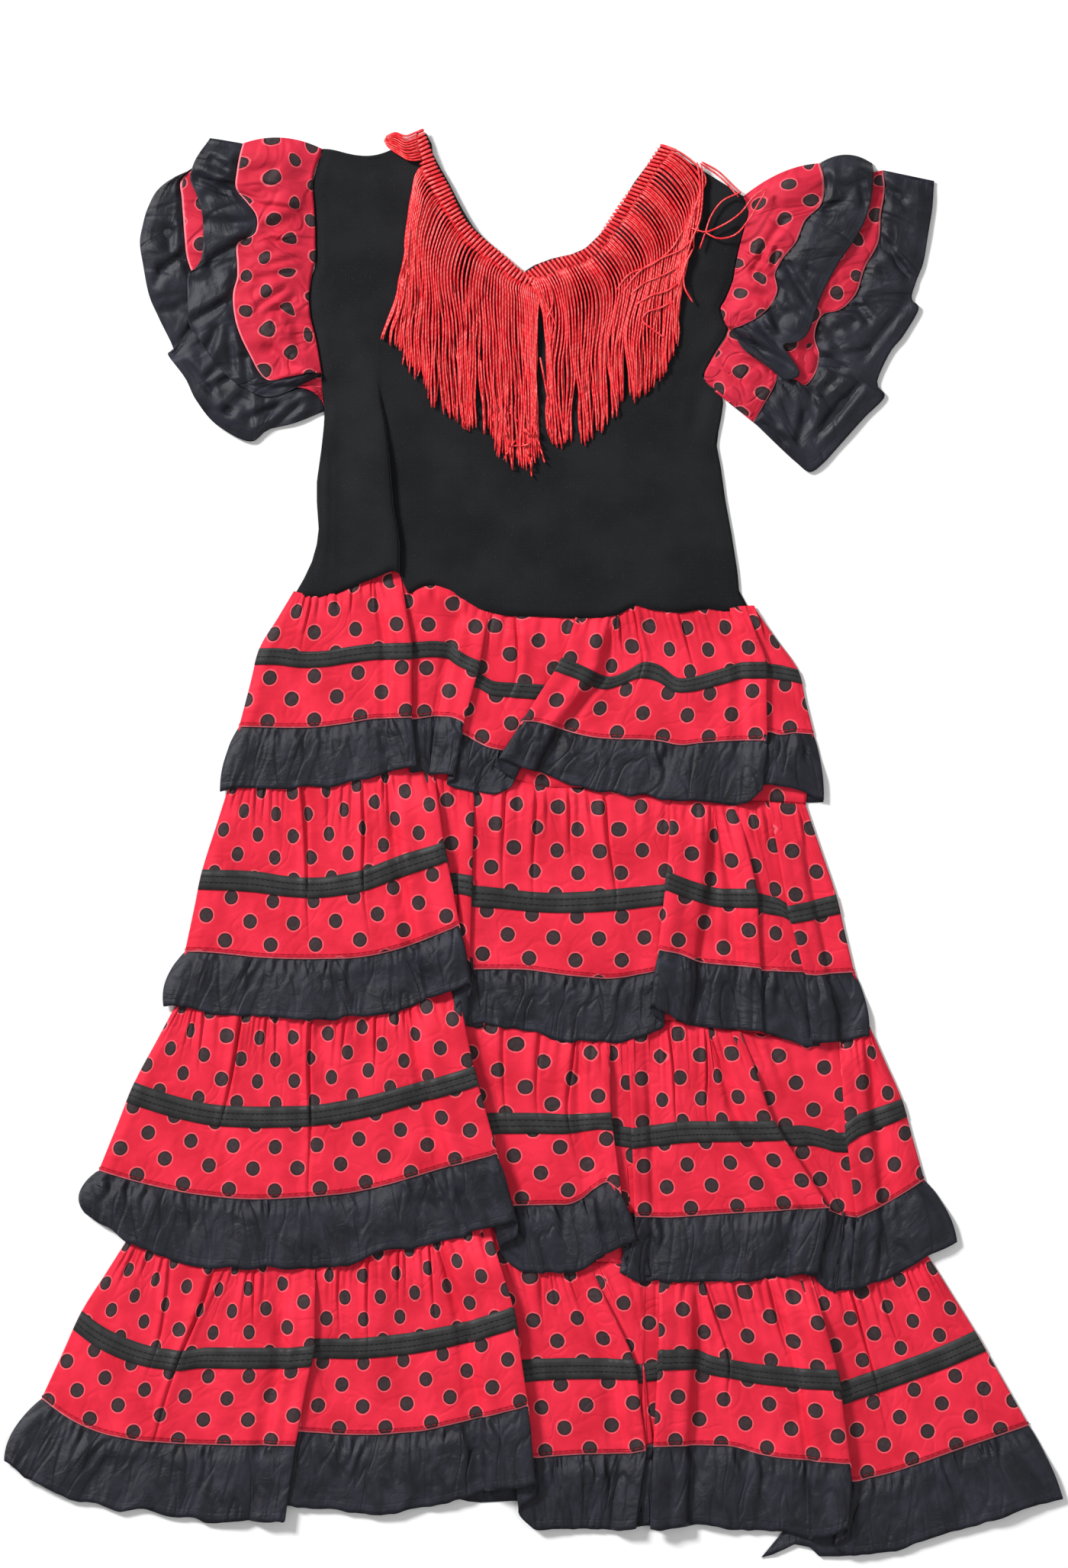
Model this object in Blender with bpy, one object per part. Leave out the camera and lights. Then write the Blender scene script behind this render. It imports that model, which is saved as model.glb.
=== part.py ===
"""A child's flamenco dress, laid flat on a surface with its front up.

Every piece is a wall of cloth. All sizes are in millimetres: "across" is measured from the centre
front, and "drop" is measured down from the top of the strap. The layers lie on each other, a wall and
a gap apart, so that a piece on a panel is made from the panel's own points, moved up.
+X is across, +Y points to the neck, +Z points out of the front, and the origin is on the surface
under the middle of the dress.
"""

import math

import bmesh
import bpy

MM = 0.001
WALL = 1.0  # thickness of the cloth
FRINGE_WALL = 2.0  # thickness of the band of strands
GAP = 0.3  # left between pieces at a seam and between layers
LAYER = WALL + GAP
MIDDLE_DROP = 469.0  # drop of the origin: half the length of the dress
RIBBON_WIDTH = (11.0, 13.0, 13.0, 13.5)  # one for each tier
HEM_ALLOWANCE = 5.0  # cloth left behind the lowest ruffle's seam
MERGE = 0.00001

# Layers, counted up from the surface.
UNDER, BACK, FRONT, OVER = 0, 1, 2, 3

# How a fold dies out: this far from a side seam, and to this strength under the hem above.
FADE_HEM = 0.12
FADE_SIDE = 18.0
RUFFLE_CLEARANCE = 1.2  # how far a ruffle's hem stands off what it hangs over
BELOW_HEM = 7.0  # the folds of a tier start to rise this far below the hem that hangs over it
FOLD_FOOT = 7.0  # reach of the steep side of a lapped fold
COLUMN_STEP = 17.0  # widest spacing of the columns between two folds

RED = (0.80, 0.03, 0.05, 1.0)
BLACK = (0.012, 0.013, 0.018, 1.0)
KNIT = (0.010, 0.010, 0.012, 1.0)
FRINGE_RED = (0.75, 0.02, 0.03, 1.0)

# The bodice, a row for each section from the shoulders to the waist:
# the left edge, the neck edge left and right (the centre line below the V), and the right edge.
BODICE = (
    # left across, drop, neck left, drop, neck right, drop, right across, drop
    (-139, 13, -72, 3, 83, 10, 137, 44),
    (-145, 36, -61, 25, 72, 26, 141, 55),
    (-143, 68, -46, 54, 51, 59, 136, 75),
    (-145, 95, -24, 79, 24, 82, 130, 100),
    (-147, 116, -8, 94, -8, 94, 122, 118),
    (-141, 145, -8, 126, -8, 126, 125, 136),
    (-137, 185, -8, 166, -8, 166, 124, 177),
    (-139, 210, -8, 203, -8, 203, 119, 206),
    (-142, 241, -8, 241, -8, 241, 125, 243),
    (-143, 272, -8, 276, -8, 276, 131, 276),
    (-157, 306, -8, 320, -8, 320, 141, 315),
)
# The long lapped fold of the bodice front: across and drop at its top and at its foot, and its rise.
BODICE_FOLD = {"top": (-100, 150), "foot": (-91, 278), "rise": 3.0}
BODICE_COLUMNS = (0, 0.12, 0.24, 0.31, 0.345, 0.38, 0.5, 0.75, 1)

# The fringe, a row for each section along the neck edge from the left strap to the right shoulder:
# the neck edge, the lower edge of the header tape, and where the strands end.
FRINGE = (
    # neck across, drop, tape across, drop, ends across, drop
    (-98, 9, -94, 19, -94, 25),
    (-90, 3, -86, 14, -88, 40),
    (-73, 0, -80, 20, -94, 125),
    (-67, 10, -75, 26, -93, 150),
    (-61, 25, -69, 34, -84, 165),
    (-54, 38, -62, 46, -70, 178),
    (-46, 54, -54, 60, -56, 188),
    (-39, 64, -46, 70, -40, 196),
    (-24, 79, -30, 86, -20, 216),
    (-8, 94, -8, 104, 3, 219),
    (10, 87, 12, 97, 20, 208),
    (24, 82, 28, 92, 38, 203),
    (34, 78, 39, 86, 52, 188),
    (43, 69, 50, 76, 64, 176),
    (51, 59, 60, 65, 76, 169),
    (59, 48, 68, 54, 86, 155),
    (72, 26, 80, 32, 94, 132),
    (83, 10, 92, 17, 104, 78),
    (90, 12, 99, 18, 109, 42),
)

# The sleeves, a row for each section from the shoulder round to the underarm. The upper flounce goes
# from the armhole to its seam and its trim from there to an edge; the lower flounce the same, under it.
SLEEVE_COLUMNS = ("armhole", "upper_seam", "upper_edge", "under_armhole", "lower_seam", "lower_edge")
SLEEVES = {
    "left": (
        ((-139, 13), (-194, 10), (-213, 6), (-139, 16), (-220, 22), (-236, 30)),
        ((-143, 28), (-193, 24), (-221, 16), (-143, 30), (-229, 36), (-247, 42)),
        ((-145, 42), (-194, 42), (-224, 34), (-145, 46), (-231, 46), (-255, 54)),
        ((-144, 58), (-183, 60), (-219, 56), (-144, 65), (-230, 66), (-258, 74)),
        ((-144, 78), (-189, 74), (-217, 82), (-144, 85), (-227, 90), (-254, 100)),
        ((-146, 96), (-195, 92), (-220, 112), (-147, 108), (-224, 116), (-246, 124)),
        ((-147, 114), (-197, 118), (-216, 136), (-145, 128), (-219, 138), (-237, 144)),
        ((-144, 130), (-190, 145), (-205, 155), (-141, 146), (-208, 158), (-227, 170)),
        ((-142, 144), (-174, 166), (-186, 174), (-139, 162), (-190, 176), (-210, 192)),
        ((-140, 156), (-152, 163), (-158, 172), (-138, 180), (-150, 184), (-182, 203)),
    ),
    "right": (
        ((137, 44), (187, 23), (221, 20), (137, 47), (230, 28), (262, 34)),
        ((140, 50), (189, 42), (221, 40), (140, 54), (228, 52), (261, 56)),
        ((140, 60), (185, 58), (215, 64), (140, 64), (226, 78), (257, 82)),
        ((137, 72), (172, 74), (203, 84), (136, 78), (216, 96), (250, 104)),
        ((133, 87), (160, 92), (191, 106), (131, 96), (207, 117), (250, 124)),
        ((129, 102), (159, 108), (182, 122), (126, 110), (196, 134), (234, 146)),
        ((125, 112), (152, 118), (174, 138), (123, 128), (186, 152), (225, 168)),
        ((123, 122), (142, 127), (160, 142), (125, 144), (168, 167), (219, 190)),
        ((125, 132), (131, 134), (132, 136), (124, 160), (153, 177), (190, 219)),
        ((125, 134), (126, 134.6), (127, 136), (124, 172), (143, 193), (146, 194)),
    ),
}
ARMHOLE_GAP = 2.2  # left between a sleeve's back half and the bodice beside it
SLEEVE_LIFT = 1.5  # how far the upper flounce's edge stands above the lower one
SLEEVE_RIPPLE = 1.2
RIPPLES_ROUND_SLEEVE = 4.5

# The skirt. Each line is a row of (across, drop) points; a lapped fold is a jump in the line.
# A fold's row holds its across at the tier's top and at its seam, its rise, and its reach to each side.
TIERS = (
    {
        "top": (
            (-157, 306), (-134, 307), (-113, 298), (-92, 290), (-82, 306), (-65, 298), (-48, 307),
            (-17, 319), (25, 321), (56, 318), (66, 312), (77, 315), (125, 316), (141, 315),
        ),
        "ribbon": (
            (-180, 340), (-138, 342), (-109, 337), (-65, 335), (-48, 343), (-34, 347), (-25, 363),
            (9, 364), (19, 347), (48, 358), (66, 348), (94, 360), (125, 353), (150, 348), (173, 354),
        ),
        "seam": (
            (-193, 392), (-150, 393), (-109, 387), (-65, 385), (-46, 389), (-32, 405), (-21, 407),
            (-11, 391), (11, 391), (44, 400), (96, 404), (152, 401), (167, 396), (183, 397),
        ),
        "hem": (
            (-206, 433), (-152, 432), (-125, 431), (-98, 425), (-76, 424), (-55, 426), (-45, 434),
            (6, 440), (11, 426), (69, 438), (141, 442), (150, 430), (190, 441),
        ),
        "join": ((-198, 417), (180, 424)),
        "folds": (
            # across at top, at seam, rise, reach left, reach right
            (-122, -135, 2.0, 12, 12),
            (-81, -78, 4.5, 40, FOLD_FOOT),
            (12, -14, 4.0, FOLD_FOOT, 40),
            (70, 74, 2.5, 14, 14),
            (108, 128, 2.5, 14, 14),
        ),
    },
    {
        "ribbon": (
            (-218, 486), (-155, 491), (-100, 481), (-61, 468), (-52, 488), (-38, 496), (25, 500),
            (84, 496), (90, 487), (112, 495), (164, 503), (197, 501),
        ),
        "seam": (
            (-229, 539), (-155, 545), (-99, 541), (-58, 524), (-34, 551), (6, 553), (44, 557),
            (78, 552), (84, 535), (120, 545), (173, 554), (210, 553),
        ),
        "hem": (
            (-242, 577), (-186, 583), (-130, 583), (-88, 578), (-44, 561), (-37, 587), (25, 598),
            (82, 592), (88, 577), (131, 591), (173, 601), (182, 598), (220, 594),
        ),
        "join": ((-228, 547), (214, 575)),
        "folds": (
            (-152, -155, 2.5, 12, 12),
            (-113, -112, 2.5, 14, 14),
            (-73, -50, 5.0, 40, FOLD_FOOT),
            (0, 4, 2.0, 16, 16),
            (88, 84, 4.5, FOLD_FOOT, 40),
            (142, 176, 3.0, 22, FOLD_FOOT),
        ),
    },
    {
        "ribbon": (
            (-263, 623), (-219, 638), (-172, 641), (-138, 641), (-100, 633), (-42, 614), (-32, 643),
            (46, 645), (56, 654), (103, 652), (181, 652), (201, 656), (209, 646), (240, 636),
        ),
        "seam": (
            (-285, 683), (-225, 698), (-172, 702), (-123, 697), (-77, 687), (-40, 676), (6, 706),
            (25, 706), (42, 695), (52, 698), (74, 713), (136, 710), (192, 706), (202, 716),
            (229, 704), (255, 686),
        ),
        "hem": (
            (-300, 703), (-278, 723), (-231, 744), (-172, 748), (-125, 744), (-49, 727), (-14, 718),
            (-7, 745), (25, 750), (56, 733), (62, 756), (146, 755), (183, 752), (200, 763),
            (225, 756), (278, 730),
        ),
        "join": ((-262, 704), (252, 722)),
        "folds": (
            (-195, -200, 2.5, 14, 14),
            (-150, -148, 3.5, 16, FOLD_FOOT),
            (-58, -27, 5.5, 45, FOLD_FOOT),
            (0, 0, 2.0, 14, 14),
            (50, 62, 3.5, 20, FOLD_FOOT),
            (142, 192, 4.0, 30, FOLD_FOOT),
        ),
    },
    {
        "ribbon": (
            (-297, 775), (-253, 798), (-223, 801), (-145, 797), (-73, 788), (-26, 776), (-2, 806),
            (76, 808), (86, 799), (112, 799), (160, 812), (194, 813), (203, 821), (250, 805),
            (289, 786),
        ),
        "seam": (
            (-323, 832), (-293, 850), (-269, 857), (-221, 861), (-158, 862), (-149, 854), (-101, 856),
            (-27, 842), (-12, 839), (10, 868), (73, 867), (83, 864), (138, 864), (177, 874),
            (205, 876), (213, 887), (250, 877), (299, 859), (325, 849),
        ),
        "hem": (
            (-347, 872), (-336, 884), (-276, 905), (-223, 912), (-164, 913), (-156, 903), (-101, 906),
            (-50, 900), (-1, 887), (7, 917), (76, 917), (143, 918), (149, 937), (187, 937),
            (250, 925), (299, 913), (348, 898),
        ),
        "folds": (
            (-205, -236, 3.0, 22, 22),
            (-145, -155, 4.0, 24, FOLD_FOOT),
            (-32, -3, 6.0, 45, FOLD_FOOT),
            (34, 62, 2.5, 16, 10),
            (83, 78, 5.0, FOLD_FOOT, 40),
            (184, 208, 4.5, 40, FOLD_FOOT),
        ),
    },
)
BACK_STATIONS = (0, 0.25, 0.5, 0.75, 1)
BACK_SAG = 4.0  # how far the back's ribbons and seams hang below the straight line between their ends
BACK_HEM_LENGTH = (0, 0, 0, 12.0)  # how far the lowest back ruffle shows below the front one


def start_empty():
    """Removes what the file holds, and gives the collection for the dress."""
    for old in list(bpy.data.objects):
        bpy.data.objects.remove(old, do_unlink=True)
    dress = bpy.data.collections.new("flamenco_dress")
    bpy.context.scene.collection.children.link(dress)
    return dress


def material(name, colour, roughness):
    """A plain finish of one colour."""
    made = bpy.data.materials.new(name)
    made.use_nodes = True
    shader = made.node_tree.nodes["Principled BSDF"]
    shader.inputs["Base Color"].default_value = colour
    shader.inputs["Roughness"].default_value = roughness
    return made


def cloth(name, grids, finish, wall=WALL):
    """A wall of cloth whose upper side is one or more grids of (across, drop, height) points.

    Each quad is cut along the same diagonal, and the wall is the upper side pushed straight down.
    """
    bm = bmesh.new()
    for grid in grids:
        rows = [[bm.verts.new((x * MM, (MIDDLE_DROP - drop) * MM, z * MM)) for x, drop, z in row] for row in grid]
        for above, below in zip(rows, rows[1:]):
            for i in range(len(above) - 1):
                bm.faces.new((above[i], below[i], below[i + 1]))
                bm.faces.new((above[i], below[i + 1], above[i + 1]))
    bmesh.ops.remove_doubles(bm, verts=bm.verts[:], dist=MERGE)
    pushed = bmesh.ops.extrude_face_region(bm, geom=bm.faces[:], use_keep_orig=True)["geom"]
    lower = [v for v in pushed if isinstance(v, bmesh.types.BMVert)]
    bmesh.ops.translate(bm, verts=lower, vec=(0, 0, -wall * MM))
    bmesh.ops.recalc_face_normals(bm, faces=bm.faces[:])
    mesh = bpy.data.meshes.new(name)
    bm.to_mesh(mesh)
    bm.free()
    mesh.materials.append(finish)
    made = bpy.data.objects.new(name, mesh)
    DRESS.objects.link(made)
    return made


def height(layer, wall=WALL):
    """Height of the upper side of a flat piece in that layer."""
    return layer * LAYER + wall


def mix(a, b, t):
    """The value t of the way from a to b."""
    return a + (b - a) * t


def smooth(t):
    """0 to 1 with level ends."""
    t = min(max(t, 0.0), 1.0)
    return t * t * (3 - 2 * t)


def drop_at(line, across):
    """Drop of a line of (across, drop) points at that place, held level past its ends."""
    for (x0, d0), (x1, d1) in zip(line, line[1:]):
        if across <= x1:
            return mix(d0, d1, max(across - x0, 0) / (x1 - x0))
    return line[-1][1]


def lifted(grid, rise):
    """The same grid, moved up."""
    return [[(x, drop, z + rise) for x, drop, z in row] for row in grid]


def bodice_grids(layer, folded):
    """The left and right halves of the bodice, which share the centre line below the V neck."""
    fold_top, fold_foot = BODICE_FOLD["top"], BODICE_FOLD["foot"]
    halves = [], []
    for row in BODICE:
        for half, (x0, d0, x1, d1) in zip(halves, (row[:4], row[4:])):
            points = []
            for share in BODICE_COLUMNS:
                x, drop = mix(x0, x1, share), mix(d0, d1, share)
                down = (drop - fold_top[1]) / (fold_foot[1] - fold_top[1])
                off = x - mix(fold_top[0], fold_foot[0], down)
                reach = 30.0 if off < 0 else FOLD_FOOT
                rise = 0.0
                if folded and 0 < down < 1:
                    rise = BODICE_FOLD["rise"] * math.sin(math.pi * down) * smooth(1 - abs(off) / reach)
                points.append((x, drop, height(layer) + rise))
            half.append(points)
    return halves


def make_bodice():
    """The front and the back, cut to one outline, the back lying on the surface."""
    cloth("bodice_back", bodice_grids(UNDER, False), FINISH["knit"])
    cloth("bodice_front", bodice_grids(BACK, True), FINISH["knit"])


def make_fringe():
    """The header tape along the neck edge, and the band that its strands fill."""
    upper = height(FRONT, FRINGE_WALL)
    neck = [(row[0], row[1], upper) for row in FRINGE]
    tape = [(row[2], row[3], upper) for row in FRINGE]
    cloth("fringe_header", [[neck, tape]], FINISH["fringe"], FRINGE_WALL)
    below = [near(start, end, GAP) for start, end in zip(tape, [(row[4], row[5], upper) for row in FRINGE])]
    ends = [(row[4], row[5], upper) for row in FRINGE]
    cloth("fringe", [[below, ends]], FINISH["fringe"], FRINGE_WALL)


def near(start, end, distance):
    """The point that distance from start towards end."""
    length = math.dist(start[:2], end[:2])
    return tuple(mix(a, b, min(distance / length, 0.5)) for a, b in zip(start, end))


def sleeve_band(side, inner, outer, layer, inset, lift, ripple):
    """A band of a sleeve between two of its lines, raised and rippled towards its outer line."""
    sections = SLEEVES[side]
    grid = [[], []]
    for number, section in enumerate(sections):
        a = section[SLEEVE_COLUMNS.index(inner)]
        b = section[SLEEVE_COLUMNS.index(outer)]
        turn = 2 * math.pi * RIPPLES_ROUND_SLEEVE * number / (len(sections) - 1)
        wave = 0.5 - 0.5 * math.cos(turn)
        base = height(layer)
        grid[0].append((*a, base + lift[0] + ripple[0] * wave))
        grid[1].append((*b, base + lift[1] + ripple[1] * wave))
    starts = [near(a, b, inset) for a, b in zip(*grid)]
    return [[starts, grid[1]]]


def make_sleeves():
    """Each flounce and trim of each sleeve, as a front half and a back half."""
    flat, up = (0, 0), (0, SLEEVE_LIFT)
    for side in SLEEVES:
        bands = (
            # piece, inner line, outer line, front layer, back layer, lift, ripple, finish
            ("upper_flounce", "armhole", "upper_seam", OVER, UNDER, up, (0, SLEEVE_RIPPLE), "dots"),
            ("upper_trim", "upper_seam", "upper_edge", OVER, UNDER, (SLEEVE_LIFT,) * 2,
             (SLEEVE_RIPPLE,) * 2, "taffeta"),
            ("lower_flounce", "under_armhole", "lower_seam", FRONT, BACK, flat, flat, "dots"),
            ("lower_trim", "lower_seam", "lower_edge", FRONT, BACK, flat, (0, SLEEVE_RIPPLE), "taffeta"),
        )
        for piece, inner, outer, front, back, lift, ripple, finish in bands:
            at_armhole = "armhole" in inner
            front_grid = sleeve_band(side, inner, outer, front, 0 if at_armhole else GAP, lift, ripple)
            back_grid = sleeve_band(side, inner, outer, back, ARMHOLE_GAP if at_armhole else GAP, flat, flat)
            cloth(f"sleeve_{side}_{piece}_front", front_grid, FINISH[finish])
            cloth(f"sleeve_{side}_{piece}_back", back_grid, FINISH[finish])


def column_shares(tier, top_ends, seam_ends):
    """Each column's share of the width at the top and at the seam, with columns along every fold."""
    marks = [(0.0, 0.0)]
    for at_top, at_seam, _, left, right in tier["folds"]:
        for off in (-left, -left / 2, 0, right / 2, right):
            marks.append((
                (at_top + off - top_ends[0]) / (top_ends[1] - top_ends[0]),
                (at_seam + off - seam_ends[0]) / (seam_ends[1] - seam_ends[0]),
            ))
    marks.append((1.0, 1.0))
    width = seam_ends[1] - seam_ends[0]
    columns = [marks[0]]
    for mark in sorted(marks)[1:]:
        last = columns[-1]
        if mark != marks[-1] and mark[1] > 1 - 4 / width:
            continue
        if min(mark[0] - last[0], mark[1] - last[1]) < 2 / width:
            continue
        parts = max(1, math.ceil((mark[1] - last[1]) * width / COLUMN_STEP))
        for part in range(1, parts + 1):
            columns.append((mix(last[0], mark[0], part / parts), mix(last[1], mark[1], part / parts)))
    return columns


def fold_rise(tier, across, down, ends):
    """Height of the cloth above its layer: the highest fold there, dying out at the sides."""
    rise = 0.0
    for at_top, at_seam, crest, left, right in tier["folds"]:
        off = across - mix(at_top, at_seam, down)
        rise = max(rise, crest * smooth(1 - abs(off) / (left if off < 0 else right)))
    return rise * smooth((across - ends[0]) / FADE_SIDE) * smooth((ends[1] - across) / FADE_SIDE)


def tier_front(number, top_line):
    """The front of one tier: its panel, the ribbon on it, and the ruffle over its seam.

    A panel's rows are its top, the line where it comes out from under the hem above, the two edges
    of its ribbon, its seam, and the join behind the ruffle where the next tier starts.
    """
    tier = TIERS[number]
    ribbon, seam, hem = tier["ribbon"], tier["seam"], tier["hem"]
    join = tier.get("join") or tuple((x, drop + HEM_ALLOWANCE) for x, drop in seam)
    width = RIBBON_WIDTH[number]

    def ends(line):
        return line[0][0], line[-1][0]

    columns = column_shares(tier, ends(top_line), ends(seam))
    def between(first, second, share):
        return tuple(mix(a, b, share) for a, b in zip(ends(first), ends(second)))

    if number:
        hem_above = TIERS[number - 1]["hem"]
        out_at, out_strength = (lambda x: drop_at(hem_above, x) + BELOW_HEM), FADE_HEM
    else:
        out_at, out_strength = (lambda x: mix(drop_at(top_line, x), drop_at(ribbon, x), 0.44)), 0.45
    rows = (
        # how far down the folds, the row's ends, its drop at a place across (or, for none, a
        # ribbon's width below the row above), strength of the folds
        (0.0, ends(top_line), lambda x: drop_at(top_line, x) + GAP * (number > 0), 0.0),
        (0.22, between(top_line, ribbon, 0.44), out_at, out_strength),
        (0.5, ends(ribbon), lambda x: drop_at(ribbon, x), 1.0),
        (0.62, between(ribbon, seam, 0.24), None, 1.0),
        (1.0, ends(seam), lambda x: drop_at(seam, x), 1.0),
        (1.0, ends(join), lambda x: drop_at(join, x), 0.0),
    )
    grid = []
    for down, row_ends, drop, strength in rows:
        row = []
        for i, (at_top, at_seam) in enumerate(columns):
            x = mix(*row_ends, mix(at_top, at_seam, down))
            y = drop(x) if drop else grid[-1][i][1] + width
            row.append((x, y, height(FRONT) + fold_rise(tier, x, down, row_ends) * strength))
        grid.append(row)
    name = f"tier_{number + 1}"
    cloth(f"{name}_panel_front", [grid], FINISH["dots"])
    cloth(f"{name}_ribbon_front", [lifted(grid[2:4], LAYER)], FINISH["taffeta"])

    seam_row, join_row = grid[4], grid[5]
    ruffle = [[(x, y, z + LAYER) for x, y, z in seam_row], [], []]
    last = len(columns) - 1
    for i, ((sx, sy, sz), (jx, jy, _)) in enumerate(zip(seam_row, join_row)):
        hem_x = hem[0][0] if i == 0 else hem[-1][0] if i == last else jx
        hem_drop = drop_at(hem, hem_x)
        middle_x = mix(sx, hem_x, 0.6) if i in (0, last) else jx
        clearance = RUFFLE_CLEARANCE * smooth(min(i, last - i) / 2)
        ruffle[1].append((middle_x, jy, sz + LAYER))
        ruffle[2].append((hem_x, hem_drop, sz + LAYER + clearance))
    cloth(f"{name}_ruffle_front", [ruffle], FINISH["taffeta"])
    return join


def back_row(line, sag, layer):
    """A row of the back between a front line's ends, sagging a little in the middle."""
    (x0, d0), (x1, d1) = line[0], line[-1]
    return [
        (mix(x0, x1, s), mix(d0, d1, s) + sag * 4 * s * (1 - s), height(layer)) for s in BACK_STATIONS
    ]


def tier_back(number, top_row):
    """The back of one tier, which lies flat: the ribbon and the ruffle are under the panel."""
    tier = TIERS[number]
    join = tier.get("join") or tuple((x, drop + HEM_ALLOWANCE) for x, drop in tier["seam"])
    ribbon = back_row(tier["ribbon"], BACK_SAG, BACK)
    below = [(x, drop + RIBBON_WIDTH[number], z) for x, drop, z in ribbon]
    seam = back_row(tier["seam"], BACK_SAG, BACK)
    sag = BACK_SAG if number == len(TIERS) - 1 else 0
    join_row = back_row(join, sag, BACK)
    hem = back_row(tier["hem"], BACK_SAG + BACK_HEM_LENGTH[number], BACK)
    name = f"tier_{number + 1}"
    cloth(f"{name}_panel_back", [[top_row, ribbon, below, seam, join_row]], FINISH["dots"])
    cloth(f"{name}_ribbon_back", [lifted([ribbon, below], -LAYER)], FINISH["taffeta"])
    cloth(f"{name}_ruffle_back", [lifted([seam, hem], -LAYER)], FINISH["taffeta"])
    return [(x, drop + GAP, z) for x, drop, z in join_row]


def make_skirt():
    """Four tiers, each sewn to the one above it behind that one's ruffle."""
    top_line = TIERS[0]["top"]
    left, centre, right = BODICE[-1][:2], BODICE[-1][2:4], BODICE[-1][6:]
    waist = [left, [mix(a, b, 0.5) for a, b in zip(left, centre)], centre,
             [mix(a, b, 0.5) for a, b in zip(centre, right)], right]
    back_top = [(x, drop + GAP, height(BACK)) for x, drop in waist]
    for number in range(len(TIERS)):
        top_line = tier_front(number, top_line)
        back_top = tier_back(number, back_top)


DRESS = start_empty()
FINISH = {
    "dots": material("dotted_cloth", RED, 0.7),
    "taffeta": material("black_taffeta", BLACK, 0.35),
    "knit": material("black_knit", KNIT, 0.9),
    "fringe": material("red_fringe", FRINGE_RED, 0.4),
}
make_bodice()
make_fringe()
make_sleeves()
make_skirt()
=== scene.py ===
"""A child's flamenco dress, laid flat with its front up, in cloth, satin ribbon, taffeta and cord.

Sizes are in millimetres: "across" from the centre front, "drop" down from the top of the strap and
"height" up from the surface. place() turns them into metres.
"""
import math

import bmesh
import bpy
import numpy as np
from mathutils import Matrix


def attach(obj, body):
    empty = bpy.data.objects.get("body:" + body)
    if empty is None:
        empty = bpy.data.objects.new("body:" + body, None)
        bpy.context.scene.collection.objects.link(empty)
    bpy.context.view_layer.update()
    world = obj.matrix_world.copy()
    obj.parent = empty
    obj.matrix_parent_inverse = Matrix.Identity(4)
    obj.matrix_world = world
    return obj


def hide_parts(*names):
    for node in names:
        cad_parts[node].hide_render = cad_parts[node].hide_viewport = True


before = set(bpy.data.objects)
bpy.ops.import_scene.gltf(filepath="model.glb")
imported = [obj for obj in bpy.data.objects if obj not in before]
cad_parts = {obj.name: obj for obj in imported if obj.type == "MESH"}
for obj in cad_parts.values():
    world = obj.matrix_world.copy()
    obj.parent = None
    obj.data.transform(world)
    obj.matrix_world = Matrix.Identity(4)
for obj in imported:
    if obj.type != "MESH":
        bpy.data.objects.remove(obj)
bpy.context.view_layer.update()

# ---------------------------------------------------------------- The surface, the light, the camera
# A pale matt floor under a soft window light from the upper left, with a wide soft fill. The camera
# looks straight down through a long lens, and its frame holds 700 x 1027.5 mm of the surface.
VIEW_HEIGHT = 4.0
VIEW_LENGTH = 1.0275
VIEW_MIDDLE = 0.0395
HALF_THICKNESS = 0.005
FLOOR_SIDE = 14.0
FLOOR_GREY = (0.90, 0.90, 0.90, 1)
ROOM_LIGHT = 0.42


def aim(thing, place_at, target=(0.0, 0.0, 0.0)):
    """Stands a light or camera at a place, its -Z axis towards the target."""
    away = [a - b for a, b in zip(place_at, target)]
    flat = math.hypot(away[0], away[1])
    thing.location = place_at
    thing.rotation_euler = (math.atan2(flat, away[2]), 0.0, math.atan2(away[1], away[0]) + math.pi / 2)


def soft_light(name, place_at, side, watts):
    """A square area light aimed at the middle of the dress."""
    data = bpy.data.lights.new(name, "AREA")
    data.size = side
    data.energy = watts
    made = bpy.data.objects.new(name, data)
    bpy.context.scene.collection.objects.link(made)
    aim(made, place_at)
    return made


floor_mesh = bpy.data.meshes.new("floor")
half = FLOOR_SIDE / 2
floor_corners = [(-half, -half, 0), (half, -half, 0), (half, half, 0), (-half, half, 0)]
floor_mesh.from_pydata(floor_corners, [], [(0, 1, 2, 3)])
floor = bpy.data.objects.new("floor", floor_mesh)
bpy.context.scene.collection.objects.link(floor)
floor_finish = bpy.data.materials.new("pale_floor")
floor_finish.use_nodes = True
floor_shader = floor_finish.node_tree.nodes["Principled BSDF"]
floor_shader.inputs["Base Color"].default_value = FLOOR_GREY
floor_shader.inputs["Roughness"].default_value = 0.9
floor_mesh.materials.append(floor_finish)

soft_light("window", (-3.8, 3.2, 3.2), side=1.2, watts=480)
soft_light("fill", (1.4, -0.4, 2.8), side=1.6, watts=14)

room = bpy.data.worlds.new("room")
room.use_nodes = True
room_light = room.node_tree.nodes["Background"].inputs
room_light["Color"].default_value = (1.0, 1.0, 1.0, 1)
room_light["Strength"].default_value = ROOM_LIGHT
bpy.context.scene.world = room
bpy.context.scene.view_settings.view_transform = "Standard"

lens = bpy.data.cameras.new("camera")
lens.sensor_width = 36.0
lens.lens = lens.sensor_width * VIEW_HEIGHT / VIEW_LENGTH
camera = bpy.data.objects.new("camera", lens)
bpy.context.scene.collection.objects.link(camera)
camera.location = (0.0, VIEW_MIDDLE, VIEW_HEIGHT + HALF_THICKNESS)
bpy.context.scene.camera = camera

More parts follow.
